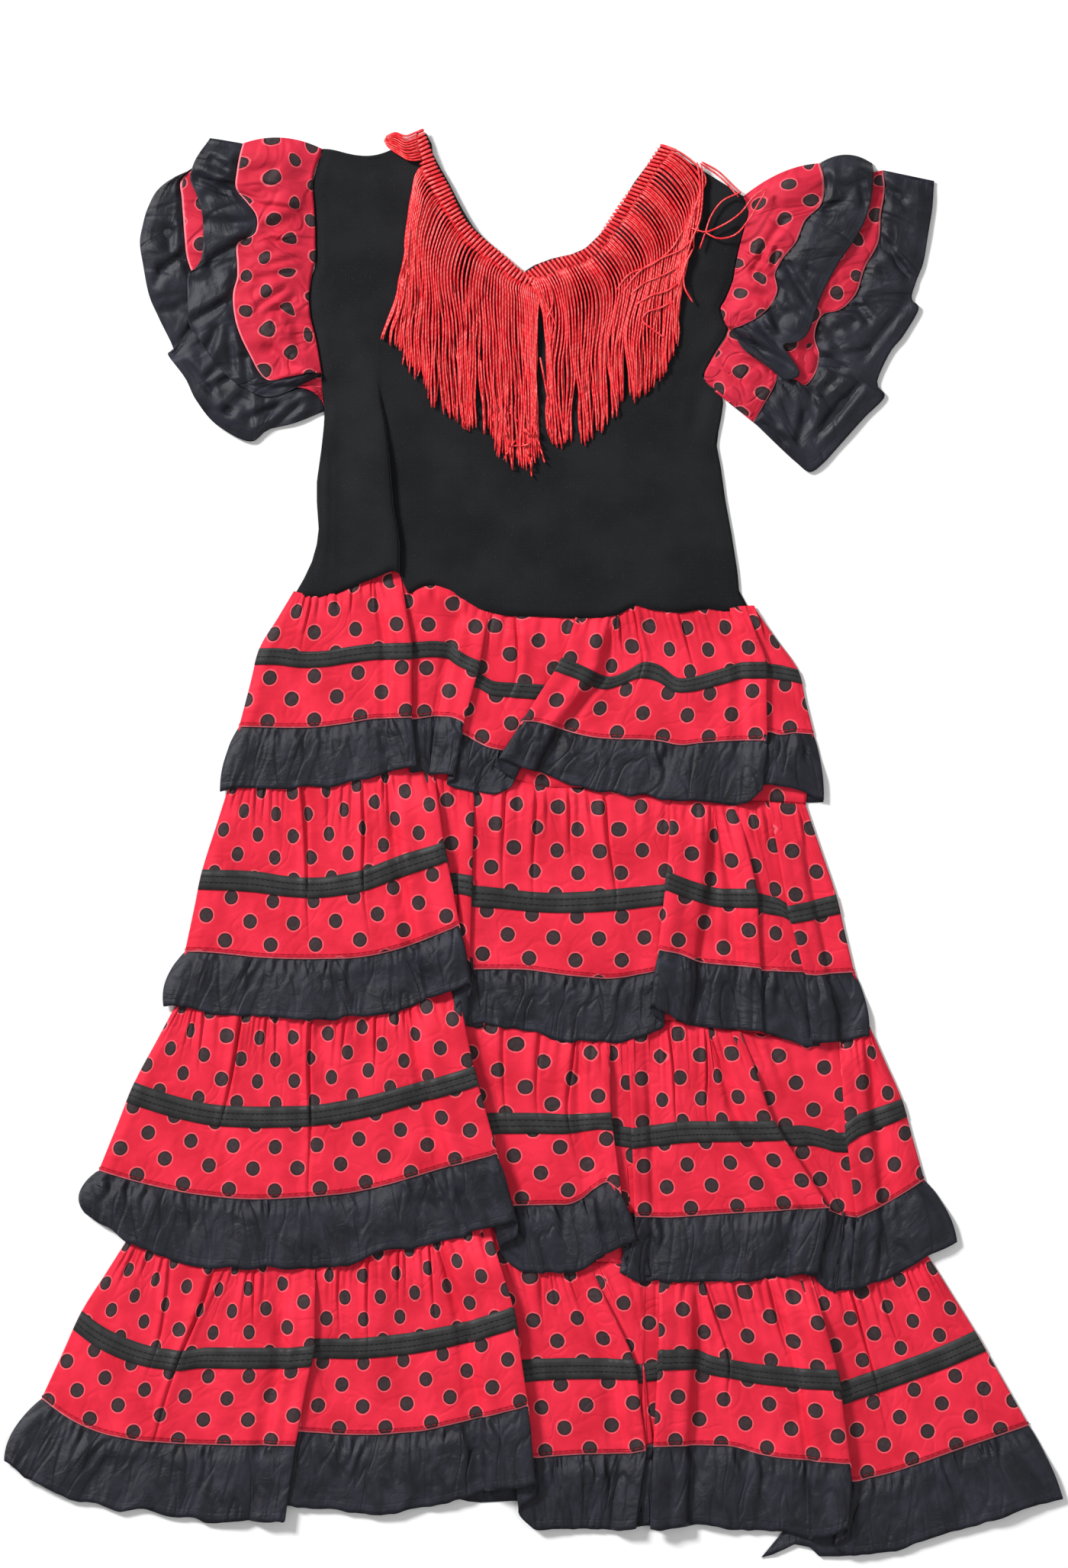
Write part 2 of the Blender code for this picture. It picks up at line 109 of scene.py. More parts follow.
# ---------------------------------------------------------------- The bodice
# Matte black stretch knit, cut as a front and a back, sewn at the shoulders and sides. It lies with
# one long fold lapped to the right, which deepens down to the waist.
MM = 0.001
MIDDLE_DROP = 469.0
CENTRE = (-7.5, 320)
CLOTH = 0.0005
BODICE_BASE = 3.0
BACK_HEIGHT = 1.0
EDGE_HEIGHT = 1.7
FOLD_DEPTH = 8.5
FOLD_CREST = 5.0
FOLD_TOP = 118
FOLD_GROWS = 130
SHOULDER_DIP = 9.5
BODICE_ROWS = (
    # drop of the left edge, of the neck or centre line, and of the right edge
    (13, 2.5, 10.5, 44), (24, 12, 18, 50), (36, 25.5, 26, 55.5), (52, 42, 42, 66), (68, 55, 59.5, 76),
    (84, 68, 70, 88), (97, 79.5, 80, 101), (108, 88, 86, 111), (116, 94.5, 90, 118), (130, 110, 110, 128),
    (145, 126, 126, 137), (165, 146, 146, 155), (185, 166, 166, 177), (210, 200, 200, 206),
    (241, 240, 240, 243), (272, 278, 278, 276), (306, 320, 320, 315.5),
)
LEFT_EDGE = (
    (-139, 13), (-145, 35), (-146, 41), (-144, 54.5), (-143.5, 68), (-143.5, 91), (-147, 99.5), (-148, 110),
    (-147, 122), (-144, 133.5), (-141.5, 145), (-139.5, 158.5), (-139, 168), (-137.5, 185), (-137.5, 191),
    (-139.5, 210), (-142.5, 231.5), (-142.5, 245), (-141, 266), (-142.5, 272.5), (-145, 282),
    (-149, 290.5), (-157.5, 306),
)
RIGHT_EDGE = (
    (137.5, 44), (141, 55.5), (138.5, 63.5), (135.5, 75), (132.5, 87), (130.5, 100.5), (125.5, 112),
    (122, 118), (124.5, 126), (127.5, 131), (125.5, 136.5), (119.5, 145.5), (114, 155.5), (110, 163),
    (115, 167), (118.5, 172), (124.5, 177), (123, 188.5), (119.5, 206), (122.5, 221.5), (125.5, 243),
    (129.5, 264.5), (133.5, 290), (135, 307.5), (141.5, 315.5),
)
NECK_LEFT = (
    (-71, 2.5), (-67, 10), (-66.5, 16), (-61.5, 25.5), (-56, 35), (-51, 45), (-46, 54.5), (-39.5, 65),
    (-32.5, 72), (-24, 79.5), (-15.5, 87), (-7.5, 94.5), CENTRE,
)
NECK_RIGHT = (
    (83.5, 10.5), (78.5, 18.5), (72.5, 26), (65, 36), (59, 47.5), (51, 59.5), (43.5, 69), (33.5, 78.5),
    (24, 82.5), (12, 85), (0, 89.5), (-7.5, 94.5), CENTRE,
)
WAIST = (
    (-157.5, 306), (-151, 307.5), (-142.5, 307), (-134.5, 307.5), (-125, 303), (-113.5, 298), (-104, 294.5),
    (-92.5, 289.5), (-88, 291.5), (-82.5, 306), (-75, 301), (-65.5, 298.5), (-56, 302), (-48, 307.5),
    (-34.5, 315.5), (-17.5, 319.5), (6, 320), (25, 321), (46, 320.5), (56, 318.5), (66.5, 312), (77, 315.5),
    (96, 317.5), (113.5, 314.5), (125, 316.5), (141.5, 315.5),
)
BODICE_FOLD = (
    (-106, 116), (-100, 141), (-99, 164), (-96, 191), (-94.5, 218), (-93.5, 241), (-92, 266), (-88, 291),
)
SIDE_SEAM = -134.5
BODICE_CREASES = (
    # across, drop of one end, across, drop of the other, width, trough, step to the right of the line
    (-124, 12, -104, 30, 4.0, 0.5, 0.7), (103, 198, 112, 148, 5.0, 1.0, 0.9),
    (90, 176, 104, 150, 7.0, 0.6, 0.5), (112, 160, 96, 206, 9.0, 0.8, 0.6),
    (4, 296, 44, 291, 2.6, 0.5, 0.5), (30, 299, 68, 304, 3.0, 0.7, 0.6), (60, 289, 104, 281, 3.0, 0.5, 0.5),
    (-40, 262, 10, 270, 6.0, 0.4, 0.4), (70, 268, 118, 258, 5.0, 0.4, 0.4),
    (-134, 140, -112, 150, 5.0, 0.6, 0.5), (-136, 168, -108, 164, 6.0, 0.6, 0.5),
    (-128, 196, -124, 300, 7.0, 0.6, 0.4), (108, 36, 124, 70, 7.0, 0.5, 0.5),
    (126, 180, 118, 230, 5.0, 0.8, 0.6), (-60, 130, -68, 250, 14.0, 0.5, 0.5),
    (50, 120, 60, 240, 18.0, 0.6, 0.5),
)


def place(across, drop, height):
    """Points in metres: x is across, y is the middle drop less the drop, z is the height."""
    across, drop, height = np.broadcast_arrays(across, drop, height)
    return np.stack([across, MIDDLE_DROP - drop, height], axis=-1) * MM


def smooth(t):
    """0 to 1 with level ends: t squared times (3 - 2t)."""
    t = np.clip(t, 0.0, 1.0)
    return t * t * (3 - 2 * t)


def spline(knots, values, at):
    """A smooth curve through the values at the knots.

    Each stretch is a cubic with set ends and slopes. A knot's slope is the mean of the slopes of the
    chords on its two sides, each weighted by the length of the other.
    """
    knots, values, at = (np.asarray(a, float) for a in (knots, values, at))
    wide = (slice(None),) + (None,) * (values.ndim - 1)
    step = np.diff(knots)
    chord = np.diff(values, axis=0) / step[wide]
    before, after = step[:-1][wide], step[1:][wide]
    inner = (chord[:-1] * after + chord[1:] * before) / (before + after)
    slope = np.concatenate([chord[:1], inner, chord[-1:]])
    i = np.clip(np.searchsorted(knots, at, side="right") - 1, 0, len(step) - 1)
    h = step[i][wide]
    t = ((at - knots[i]) / step[i])[wide]
    return (
        values[i] * (1 + 2 * t) * (1 - t) ** 2 + slope[i] * h * t * (1 - t) ** 2
        + values[i + 1] * t * t * (3 - 2 * t) + slope[i + 1] * h * t * t * (t - 1)
    )


def running(steps):
    """The running total of steps, from 0."""
    return np.concatenate([[0], np.cumsum(steps)])


def between_four(table, i, j, after_i, after_j, share_i, share_j):
    """Value between the four neighbours of a table at (i or after_i, j or after_j)."""
    return (
        (table[i, j] * (1 - share_i) + table[after_i, j] * share_i) * (1 - share_j)
        + (table[i, after_j] * (1 - share_i) + table[after_i, after_j] * share_i) * share_j
    )


def ripple(u, v, seed, size=97):
    """A smooth random field from -1 to 1: random heights at whole numbers, blended with level ends."""
    heights = np.random.default_rng(seed).uniform(-1, 1, (size, size))
    u, v = np.broadcast_arrays(u, v)
    i, j = np.floor(u).astype(int), np.floor(v).astype(int)
    share_u, share_v = smooth(u - i), smooth(v - j)
    return between_four(heights, i % size, j % size, (i + 1) % size, (j + 1) % size, share_u, share_v)


def near_creases(across, drop, table):
    """For each crease, the distance from its line over its width, a hold, its direction and last sizes.

    The hold is 1 along the line and tapers to nothing at its ends.
    """
    for x0, d0, x1, d1, width, depth, rise in table:
        length = math.hypot(x1 - x0, d1 - d0)
        ex, ed = (x1 - x0) / length, (d1 - d0) / length
        along = ((across - x0) * ex + (drop - d0) * ed) / length
        q = ((across - x0) * ed - (drop - d0) * ex) / width
        yield q, smooth(along * 4 + 0.5) * smooth((1 - along) * 3 + 0.3), (ed, ex), depth, rise


def creased(across, drop, table):
    """Height of soft creases: along each line a bell-shaped trough and a low side, then a raised side.

    With q the distance from the line over its width, the trough is -depth exp(-q q) and the step is
    rise q exp(-q q / 2).
    """
    total = np.zeros(np.broadcast(across, drop).shape)
    for q, hold, _, depth, rise in near_creases(across, drop, table):
        total += hold * (rise * q * np.exp(-q * q / 2) - depth * np.exp(-q * q))
    return total


def outward(points):
    """Unit normals of a grid: the cross product of the step down it and the step across it."""
    normal = np.cross(np.gradient(points, axis=0), np.gradient(points, axis=1))
    return normal / np.maximum(np.linalg.norm(normal, axis=-1, keepdims=True), 1e-12)


def lengths(points):
    """Mean length of a grid's rows and of its columns."""
    across = np.linalg.norm(np.diff(points, axis=1), axis=-1).sum(axis=1).mean()
    down = np.linalg.norm(np.diff(points, axis=0), axis=-1).sum(axis=0).mean()
    return float(across), float(down)


def cut_of(u, v):
    """UV coordinates of a grid from its U and its V, either of which may be one row or one column."""
    return np.stack(np.broadcast_arrays(u, v), axis=-1)


def new_piece(name, points, faces, maps, finish, replaced, weld=False):
    """A smooth shaded piece that rides on the root and stands for one CAD node.

    Faces is a list of whole-number tables, and maps holds each UV map's coordinates by point.
    """
    mesh = bpy.data.meshes.new(name)
    mesh.from_pydata(points.tolist(), [], sum((group.tolist() for group in faces), []))
    corners = np.concatenate([group.ravel() for group in faces])
    for layer, values in maps.items():
        mesh.uv_layers.new(name=layer).data.foreach_set("uv", values[corners].ravel())
    if weld:
        joined = bmesh.new()
        joined.from_mesh(mesh)
        bmesh.ops.remove_doubles(joined, verts=joined.verts, dist=0.02 * MM)
        joined.to_mesh(mesh)
        joined.free()
    mesh.polygons.foreach_set("use_smooth", np.ones(len(mesh.polygons), bool))
    mesh.materials.append(finish)
    made = bpy.data.objects.new(name, mesh)
    bpy.context.scene.collection.objects.link(made)
    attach(made, "root")
    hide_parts(replaced)
    return made


def cloth(name, grids, finish, replaced, wall=CLOTH, weld=False):
    """A piece of thin cloth from grids of (points, cut, print): points in metres, and two UV maps.

    Each cell of a grid is one quad with its face up. A Solidify gives the wall, inwards. Print is the
    same as cut where it isn't given.
    """
    faces, start = [], 0
    for grid in grids:
        rows, columns = grid[0].shape[:2]
        index = start + np.arange(rows * columns).reshape(rows, columns)
        quads = np.stack([index[:-1, :-1], index[1:, :-1], index[1:, 1:], index[:-1, 1:]], axis=-1)
        faces.append(quads.reshape(-1, 4))
        start += rows * columns
    points = np.concatenate([grid[0].reshape(-1, 3) for grid in grids])
    maps = {"cut": np.concatenate([grid[1].reshape(-1, 2) for grid in grids]),
            "print": np.concatenate([grid[-1].reshape(-1, 2) for grid in grids])}
    made = new_piece(name, points, faces, maps, finish, replaced, weld)
    thick = made.modifiers.new("thickness", "SOLIDIFY")
    thick.thickness = wall
    thick.offset = -1
    return made


def node(tree, kind, inputs=(), **settings):
    """Adds a shader node. An input is a value or another node's output."""
    made = tree.nodes.new("ShaderNode" + kind)
    for key, value in settings.items():
        setattr(made, key, value)
    for key, value in dict(inputs).items():
        if isinstance(value, bpy.types.NodeSocket):
            tree.links.new(value, made.inputs[key])
        else:
            made.inputs[key].default_value = value
    return made


def finish_of(name, roughness, **fixed):
    """A new material and its shader, with the values that are the same all over set on the sockets."""
    made = bpy.data.materials.new(name)
    made.use_nodes = True
    shader = made.node_tree.nodes["Principled BSDF"]
    shader.inputs["Roughness"].default_value = roughness
    for key, value in fixed.items():
        shader.inputs[key.replace("_", " ")].default_value = value
    return made, made.node_tree, shader


def sums(tree, operation, a, b=0.0):
    """One sum of two numbers or outputs."""
    return node(tree, "Math", {0: a, 1: b}, operation=operation).outputs[0]


def away_from(tree, value, level):
    """How far a value is from a level, either way."""
    return sums(tree, "ABSOLUTE", sums(tree, "SUBTRACT", value, level))


def ramp(tree, value, low, high, start=0.0, end=1.0):
    """start below low, end above high, with level ends between."""
    inputs = {"Value": value, "From Min": low, "From Max": high, "To Min": start, "To Max": end}
    return node(tree, "MapRange", inputs, interpolation_type="SMOOTHSTEP").outputs[0]


def blended(tree, share, first, second):
    """A colour that goes from the first to the second as share goes from 0 to 1."""
    return node(tree, "Mix", {0: share, 6: first, 7: second}, data_type="RGBA").outputs[2]


def noise(tree, at, scale, detail, distortion=0.0):
    """Cloud noise from 0 to 1."""
    inputs = {"Vector": at, "Scale": scale, "Detail": detail, "Distortion": distortion}
    return node(tree, "TexNoise", inputs).outputs["Fac"]


def axes(tree, layer):
    """The two coordinates of a UV map, and the pair."""
    pair = node(tree, "UVMap", uv_map=layer).outputs[0]
    parts = node(tree, "SeparateXYZ", {0: pair})
    return parts.outputs[0], parts.outputs[1], pair


def waves(tree, pair, direction, pitch):
    """Parallel ribs at the pitch, from 0 to 1."""
    inputs = {"Vector": pair, "Scale": 2 * math.pi / (20 * pitch), "Distortion": 0.0}
    return node(tree, "TexWave", inputs, wave_type="BANDS", bands_direction=direction).outputs["Fac"]


def bumped(tree, shader, height, distance, strength=1.0, under=None):
    """Joins a height to the shader as a bump, on top of another bump if there is one."""
    inputs = {"Height": height, "Distance": distance, "Strength": strength}
    if under is not None:
        inputs["Normal"] = under
    made = node(tree, "Bump", inputs)
    tree.links.new(made.outputs[0], shader.inputs["Normal"])
    return made.outputs[0]


def knit_finish():
    """Black jersey: fine ribs of stitches, a dull face and a little lint."""
    made, tree, shader = finish_of("black_knit", 0.9, Sheen_Weight=0.06, Sheen_Roughness=0.5,
                                   Specular_IOR_Level=0.12)
    _, _, pair = axes(tree, "cut")
    lint = noise(tree, pair, 900.0, 2.0)
    cloud = ramp(tree, noise(tree, pair, 22.0, 4.0), 0.35, 0.65)
    dark = blended(tree, cloud, (0.0080, 0.0084, 0.0100, 1), (0.0125, 0.0130, 0.0150, 1))
    shade = blended(tree, ramp(tree, lint, 0.62, 0.75), dark, (0.026, 0.027, 0.030, 1))
    tree.links.new(shade, shader.inputs["Base Color"])
    courses = sums(tree, "MULTIPLY", waves(tree, pair, "Y", 0.9 * MM), 0.5)
    stitches = sums(tree, "ADD", waves(tree, pair, "X", 1.1 * MM), courses)
    under = bumped(tree, shader, stitches, 0.12 * MM, 0.5)
    bumped(tree, shader, lint, 0.3 * MM, 0.35, under)
    return made


LAP = (
    # offset from the lap's edge over its depth, share of the crest's height, share of the way to
    # the lower cloth, and place along the cloth when the lap is pulled flat, over its depth
    (-2.6, 0.30, 0.0, -3.6), (-1.3, 0.80, 0.0, -2.3), (-0.5, 1.00, 0.0, -1.5), (-0.09, 0.92, 0.0, -1.09),
    (0.0, 0.79, 0.15, -0.95), (-0.1, 0.67, 0.3, -0.8), (-0.45, 0.60, 0.4, -0.5), (-0.85, 0.50, 0.5, -0.1),
    (-0.97, 0.34, 0.6, 0.1), (-0.8, 0.17, 0.75, 0.3), (-0.35, 0.09, 0.9, 0.7), (0.25, 0.03, 1.0, 1.3),
    (1.1, 0.0, 1.0, 2.1),
)
LAP = np.array(LAP)

def bodice_rows(count):
    """Drops of the left edge, left and right centre line and right edge for rows down the bodice."""
    rows = np.array(BODICE_ROWS, float)
    return spline(np.linspace(0, 1, len(rows)), rows, np.linspace(0, 1, count)).T


def at_drop(line, drop):
    """Across of a line of (across, drop) points at a drop."""
    across, drops = np.array(line, float).T
    return np.interp(drop, drops, across)


def at_across(line, across):
    """Drop of a line of (across, drop) points at an across, level past its ends."""
    xs, drops = np.array(line, float).T
    return np.interp(across, xs, drops)


def to_waist(across, drop, down, ends):
    """Moves the last rows of the bodice onto its wavy waist seam."""
    straight = np.interp(across, [ends[0][0], ends[1][0]], [ends[0][1], ends[1][1]])
    return drop + (at_across(WAIST, across) - straight) * smooth((down - 0.72) / 0.28)


def bodice_half(side, lapped, count=120, fine=64):
    """Across, drop and height of one half of the bodice, in rows from the shoulder to the waist.

    Stations run from the outer edge to the neck or the centre line. On the lapped half, stations
    round the fold step back under its edge as it deepens.
    """
    drops = bodice_rows(count)
    down = np.linspace(0, 1, count)
    if side == "left":
        outer_drop, inner_drop, ends = drops[0], drops[1], (WAIST[0], CENTRE)
        outer, inner = at_drop(LEFT_EDGE, outer_drop), at_drop(NECK_LEFT, inner_drop)
    else:
        outer_drop, inner_drop, ends = drops[3], drops[2], (CENTRE, WAIST[-1])
        outer, inner = at_drop(RIGHT_EDGE, outer_drop), at_drop(NECK_RIGHT, inner_drop)
    shares = np.array([0, 0.03, 0.08, 0.2, 0.4, 0.6, 0.8, 1.0])[:, None]
    height = np.zeros((len(shares), count))
    across = outer + (inner - outer) * shares
    if lapped:
        fold_drop = 0.6 * outer_drop + 0.4 * inner_drop
        edge = at_drop(BODICE_FOLD, fold_drop)
        hold = smooth((fold_drop - FOLD_TOP) / FOLD_GROWS)
        room = np.clip((inner - edge) / 40, 0.2, 1)
        folded = edge + LAP[:, :1] * FOLD_DEPTH * hold + (1 - hold) * LAP[:, 3:] * 5.0 * room
        before = outer + (folded[0] - outer) * np.array([0, 0.06, 0.2, 0.6])[:, None]
        after = folded[-1] + (inner - folded[-1]) * np.array([0.2, 0.5, 0.75, 1.0])[:, None]
        across = np.concatenate([before, folded, after])
        height = np.concatenate([before * 0, LAP[:, 1:2] * FOLD_CREST * hold, after * 0])
    share = (across - outer) / (inner - outer)
    drop = outer_drop + (inner_drop - outer_drop) * share
    knots = running(np.abs(np.diff(across[:, -1])) + np.abs(np.diff(height[:, -1])))
    at = np.linspace(0, knots[-1], fine)
    across, drop, height, share = (spline(knots, a, at).T for a in (across, drop, height, share))
    down = down[:, None]
    shoulder = np.sin(np.pi * np.clip(share, 0, 1)) ** 1.5 * (1 - smooth(down / 0.08)) * (side == "left")
    drop = drop + shoulder * SHOULDER_DIP
    return across, to_waist(across, drop, down, ends), height, share, down


def half_grid(side, across, drop, height, shift=0.0):
    """The grid of one half, its columns from left to right, cut as it lies."""
    if side == "right":
        across, drop, height = across[:, ::-1], drop[:, ::-1], height[:, ::-1]
    points = place(across, drop, height)
    return points, points[..., :2] + np.array((shift, 0.0))


def make_bodice_front():
    """Both halves of the front, with the soft rise of the body and its creases."""
    grids = []
    for side in ("left", "right"):
        across, drop, height, share, down = bodice_half(side, side == "left")
        rise = 1.1 * smooth(share / 0.35) * smooth(down * 3)
        height = height + BODICE_BASE + rise + 0.5 * ripple(across / 26, drop / 34, 3)
        height = height + creased(across, drop, BODICE_CREASES)
        height = height + 0.12 * ripple(across / 6, drop / 5, 5)
        if side == "left":
            seam = (across - SIDE_SEAM - 1.5 * np.sin(drop / 30)) / 1.1
            height = height - 0.55 * np.exp(-seam * seam) * smooth((drop - 205) / 15)
        rounded = smooth(np.abs(across - across[:, :1]) / 7)
        height = EDGE_HEIGHT + (height - EDGE_HEIGHT) * rounded
        height = height - 0.9 * smooth((down - 0.985) / 0.015)
        grids.append(half_grid(side, across, drop, height))
    return cloth("bodice_front_cloth", grids, KNIT, "bodice_front", weld=True), grids


def make_bodice_back():
    """The back, cut to the same outline, lying on the surface."""
    grids = []
    for side in ("left", "right"):
        across, drop, *_ = bodice_half(side, False, 50, 20)
        height = BACK_HEIGHT + 0.12 * ripple(across / 30, drop / 30, 7)
        grids.append(half_grid(side, across, drop, height, 0.4))
    return cloth("bodice_back_cloth", grids, KNIT, "bodice_back", weld=True)


KNIT = knit_finish()
bodice_front, front_grids = make_bodice_front()
bodice_back = make_bodice_back()

# ---------------------------------------------------------------- The skirt
# Four tiers of matt red woven cloth printed with charcoal dots. Each hangs gathered from the one above,
# carries a satin ribbon held by two rows of stitches, and ends in a gathered black taffeta ruffle.
TIER_1 = dict(
    # Each tier is one length of cloth, in stretches between laps from left to right. A stretch has a line
    # for the ribbon's upper edge, one for the seam and one for the ruffle's hem.
    # lap: side (1 has the left cloth over the right one), across at the top, crest, depth, and the share
    #   of its depth that is left at the hem
    # pleat: across at the top, across at the seam, size, how far down it reaches, side
    # crease: as on the bodice
    # fall: from the ribbon's upper edge to the seam; ribbon: its width; phase: where the print starts;
    #   bulge: how far the ruffle bows out at its left and right ends
    top=tuple((x, d - 3) for x, d in WAIST),
    ribbons=(
        ((-180, 340.5), (-165.5, 340.5), (-154, 342.5), (-138.5, 342.5), (-121, 339.5), (-109.5, 337.5),
         (-80, 337)),
        ((-78, 336.5), (-65.5, 335.5), (-54, 337), (-48, 343.5), (-35.5, 349)),
        ((-34, 358), (-27, 362), (-24, 362.5), (9, 364.5), (22, 364.5)),
        ((18, 346.5), (32, 352), (46, 359), (57.5, 359), (64.5, 349.5), (81, 349.5), (88, 357.5), (95, 360),
         (106.5, 359), (137.5, 349.5), (152, 349.5)),
        ((154, 350.5), (162, 351.5), (173, 354.5)),
    ),
    seams=(
        ((-193.5, 392), (-150, 393), (-129, 391), (-109, 387), (-80, 386)),
        ((-78, 387), (-65, 385), (-52, 386), (-46, 389.5)),
        ((-46, 397), (-32, 405), (-21, 407.5), (-9, 409), (4, 410)),
        ((-9, 389), (-4, 388.5), (6, 389.5), (11, 391.5), (29, 397), (44, 400), (77, 400.5), (96, 404),
         (115.5, 402), (134.5, 401), (153, 401)),
        ((155, 395.5), (159.5, 397), (167.5, 396), (183.5, 397)),
    ),
    hems=(
        ((-206, 433), (-190, 432.5), (-152, 432), (-125, 430), (-109, 426), (-98, 422), (-77, 418.5)),
        ((-74, 422), (-65, 425), (-52, 423.5)),
        ((-53, 432), (-40, 435), (-23, 437), (-8, 436), (6, 439)),
        ((-23.5, 413), (-11.5, 416.5), (0, 420), (11.5, 426), (29, 432), (48, 434.5), (69, 437.5),
         (86.5, 440.5), (106, 441), (125, 442), (141.5, 441.5), (145, 437.5), (149, 433)),
        ((150, 430), (163, 430), (174, 432.5), (181, 437), (190, 441)),
    ),
    laps=((1, -88, 4.6, 6, 0.9), (1, -29, 4.2, 6, 0.9), (-1, 28, 6.0, 9, 1.2), (1, 139, 3.4, 5, 1.0)),
    pleats=(
        (-146, -161, 0.7, 0.5, 1), (-120, -124, 0.6, 0.25, 1), (-104, -104, 0.5, 0.2, 1),
        (-11, -30, 0.8, 0.8, -1), (8, 6, 0.6, 0.5, 1), (48, 38, 0.7, 0.35, 1), (64, 54, 1.0, 0.8, -1),
        (95, 96, 0.7, 0.5, 1),
    ),
    creases=(
        (80, 322, 94, 402, 9, 1.6, 0.6), (52, 330, 48, 392, 8, 1.4, -0.4),
        (-108, 350, -112, 384, 9, 0.5, 0.7), (-147, 352, -143, 380, 5, 0.5, 0.5),
        (150, 318, 182, 330, 4, 0.7, -0.7), (-40, 312, -52, 330, 4, 0.6, 0.8),
    ),
    fall=50.0, ribbon=11.0, phase=(0.0185, 0.004), bulge=(-3.0, 2.0), seed=11,
)
TIER_2 = dict(
    top=(
        (-198, 424), (-125, 423), (-76, 416), (-50, 418), (0, 430), (11, 432), (44, 432), (88, 438),
        (107, 440), (147, 441), (178, 443),
    ),
    ribbons=(
        ((-217.5, 485.5), (-196, 486), (-183.5, 486.5), (-155, 491), (-134.5, 490.5), (-113, 486),
         (-84.5, 475), (-58.5, 467.5)),
        ((-53, 487.5), (-40.5, 489.5)),
        ((-39, 496), (-28, 497), (6.5, 501), (35, 500), (87, 495)),
        ((87, 486.5), (102, 492.5), (119.5, 498), (146, 498)),
        ((147, 501), (159.5, 504), (168, 509)),
        ((166, 509.5), (182.5, 506), (188, 500), (198, 502)),
    ),
    seams=(
        ((-229, 539.5), (-211, 540), (-184, 543), (-158, 544.5), (-123, 544), (-99, 541), (-79, 534.5),
         (-48, 522)),
        ((-48, 541), (-42, 546)),
        ((-40, 551), (-7, 551), (25.5, 555.5), (52.5, 557.5), (84, 551.5)),
        ((81, 538.5), (92.5, 540), (110, 547), (146, 550), (149, 550.5)),
        ((150, 552), (176.5, 553)),
        ((177, 554), (184, 555), (207.5, 552.5), (210, 553)),
    ),
    hems=(
        ((-243, 574), (-222, 577), (-210.5, 580), (-181, 582), (-152, 584), (-111, 583), (-84.5, 577.5),
         (-64, 567.5), (-41, 560)),
        ((-50, 586), (-44, 588)),
        ((-45, 588), (-26, 587), (2.5, 593), (25.5, 598.5), (48.5, 598.5), (64, 597), (90, 592)),
        ((76.5, 574), (89, 581.5), (102, 587), (117.5, 589), (150, 592)),
        ((150, 592), (169, 597.5), (180.5, 602.5)),
        ((182.5, 598.5), (194, 598.5), (207.5, 597.5), (220, 594)),
    ),
    laps=(
        (1, -66, 7.0, 11, 1.0), (1, -38.5, 3.2, 4.5, 0.5), (-1, 90, 6.0, 10, 1.0), (1, 133, 3.8, 5, 0.5),
        (-1, 154, 4.2, 6, 1.0),
    ),
    pleats=(
        (-177, -184, 0.5, 0.22, 1), (-152.5, -148, 1.15, 0.95, 1), (-133, -137, 0.7, 0.3, 1),
        (-112, -106, 1.05, 0.95, 1), (-90, -88, 0.5, 0.18, 1), (-20, -22, 0.9, 0.55, 1),
        (1, -3, 0.9, 0.6, 1), (22, 22, 0.8, 0.35, 1), (46, 48, 0.9, 0.7, 1), (66, 68, 0.7, 0.3, 1),
        (108, 110, 0.8, 0.4, 1), (169, 192, 0.6, 0.3, 1),
    ),
    creases=(
        (-166, 470, -150, 462, 4, 0.3, -0.6), (-152, 494, -142, 518, 5, 0.7, 0.6),
        (-108, 486, -102, 524, 6, 0.5, 0.7), (-30, 500, -22, 548, 6, 0.6, 0.5),
        (152, 480, 170, 540, 8, 1.2, 0.4), (-160, 428, -180, 560, 26, 0.8, 0.0),
        (106, 470, 124, 545, 10, 0.5, 0.6),
    ),
    fall=54.0, ribbon=13.0, phase=(0.025, 0.01), bulge=(-5.0, 3.0), seed=12,
)
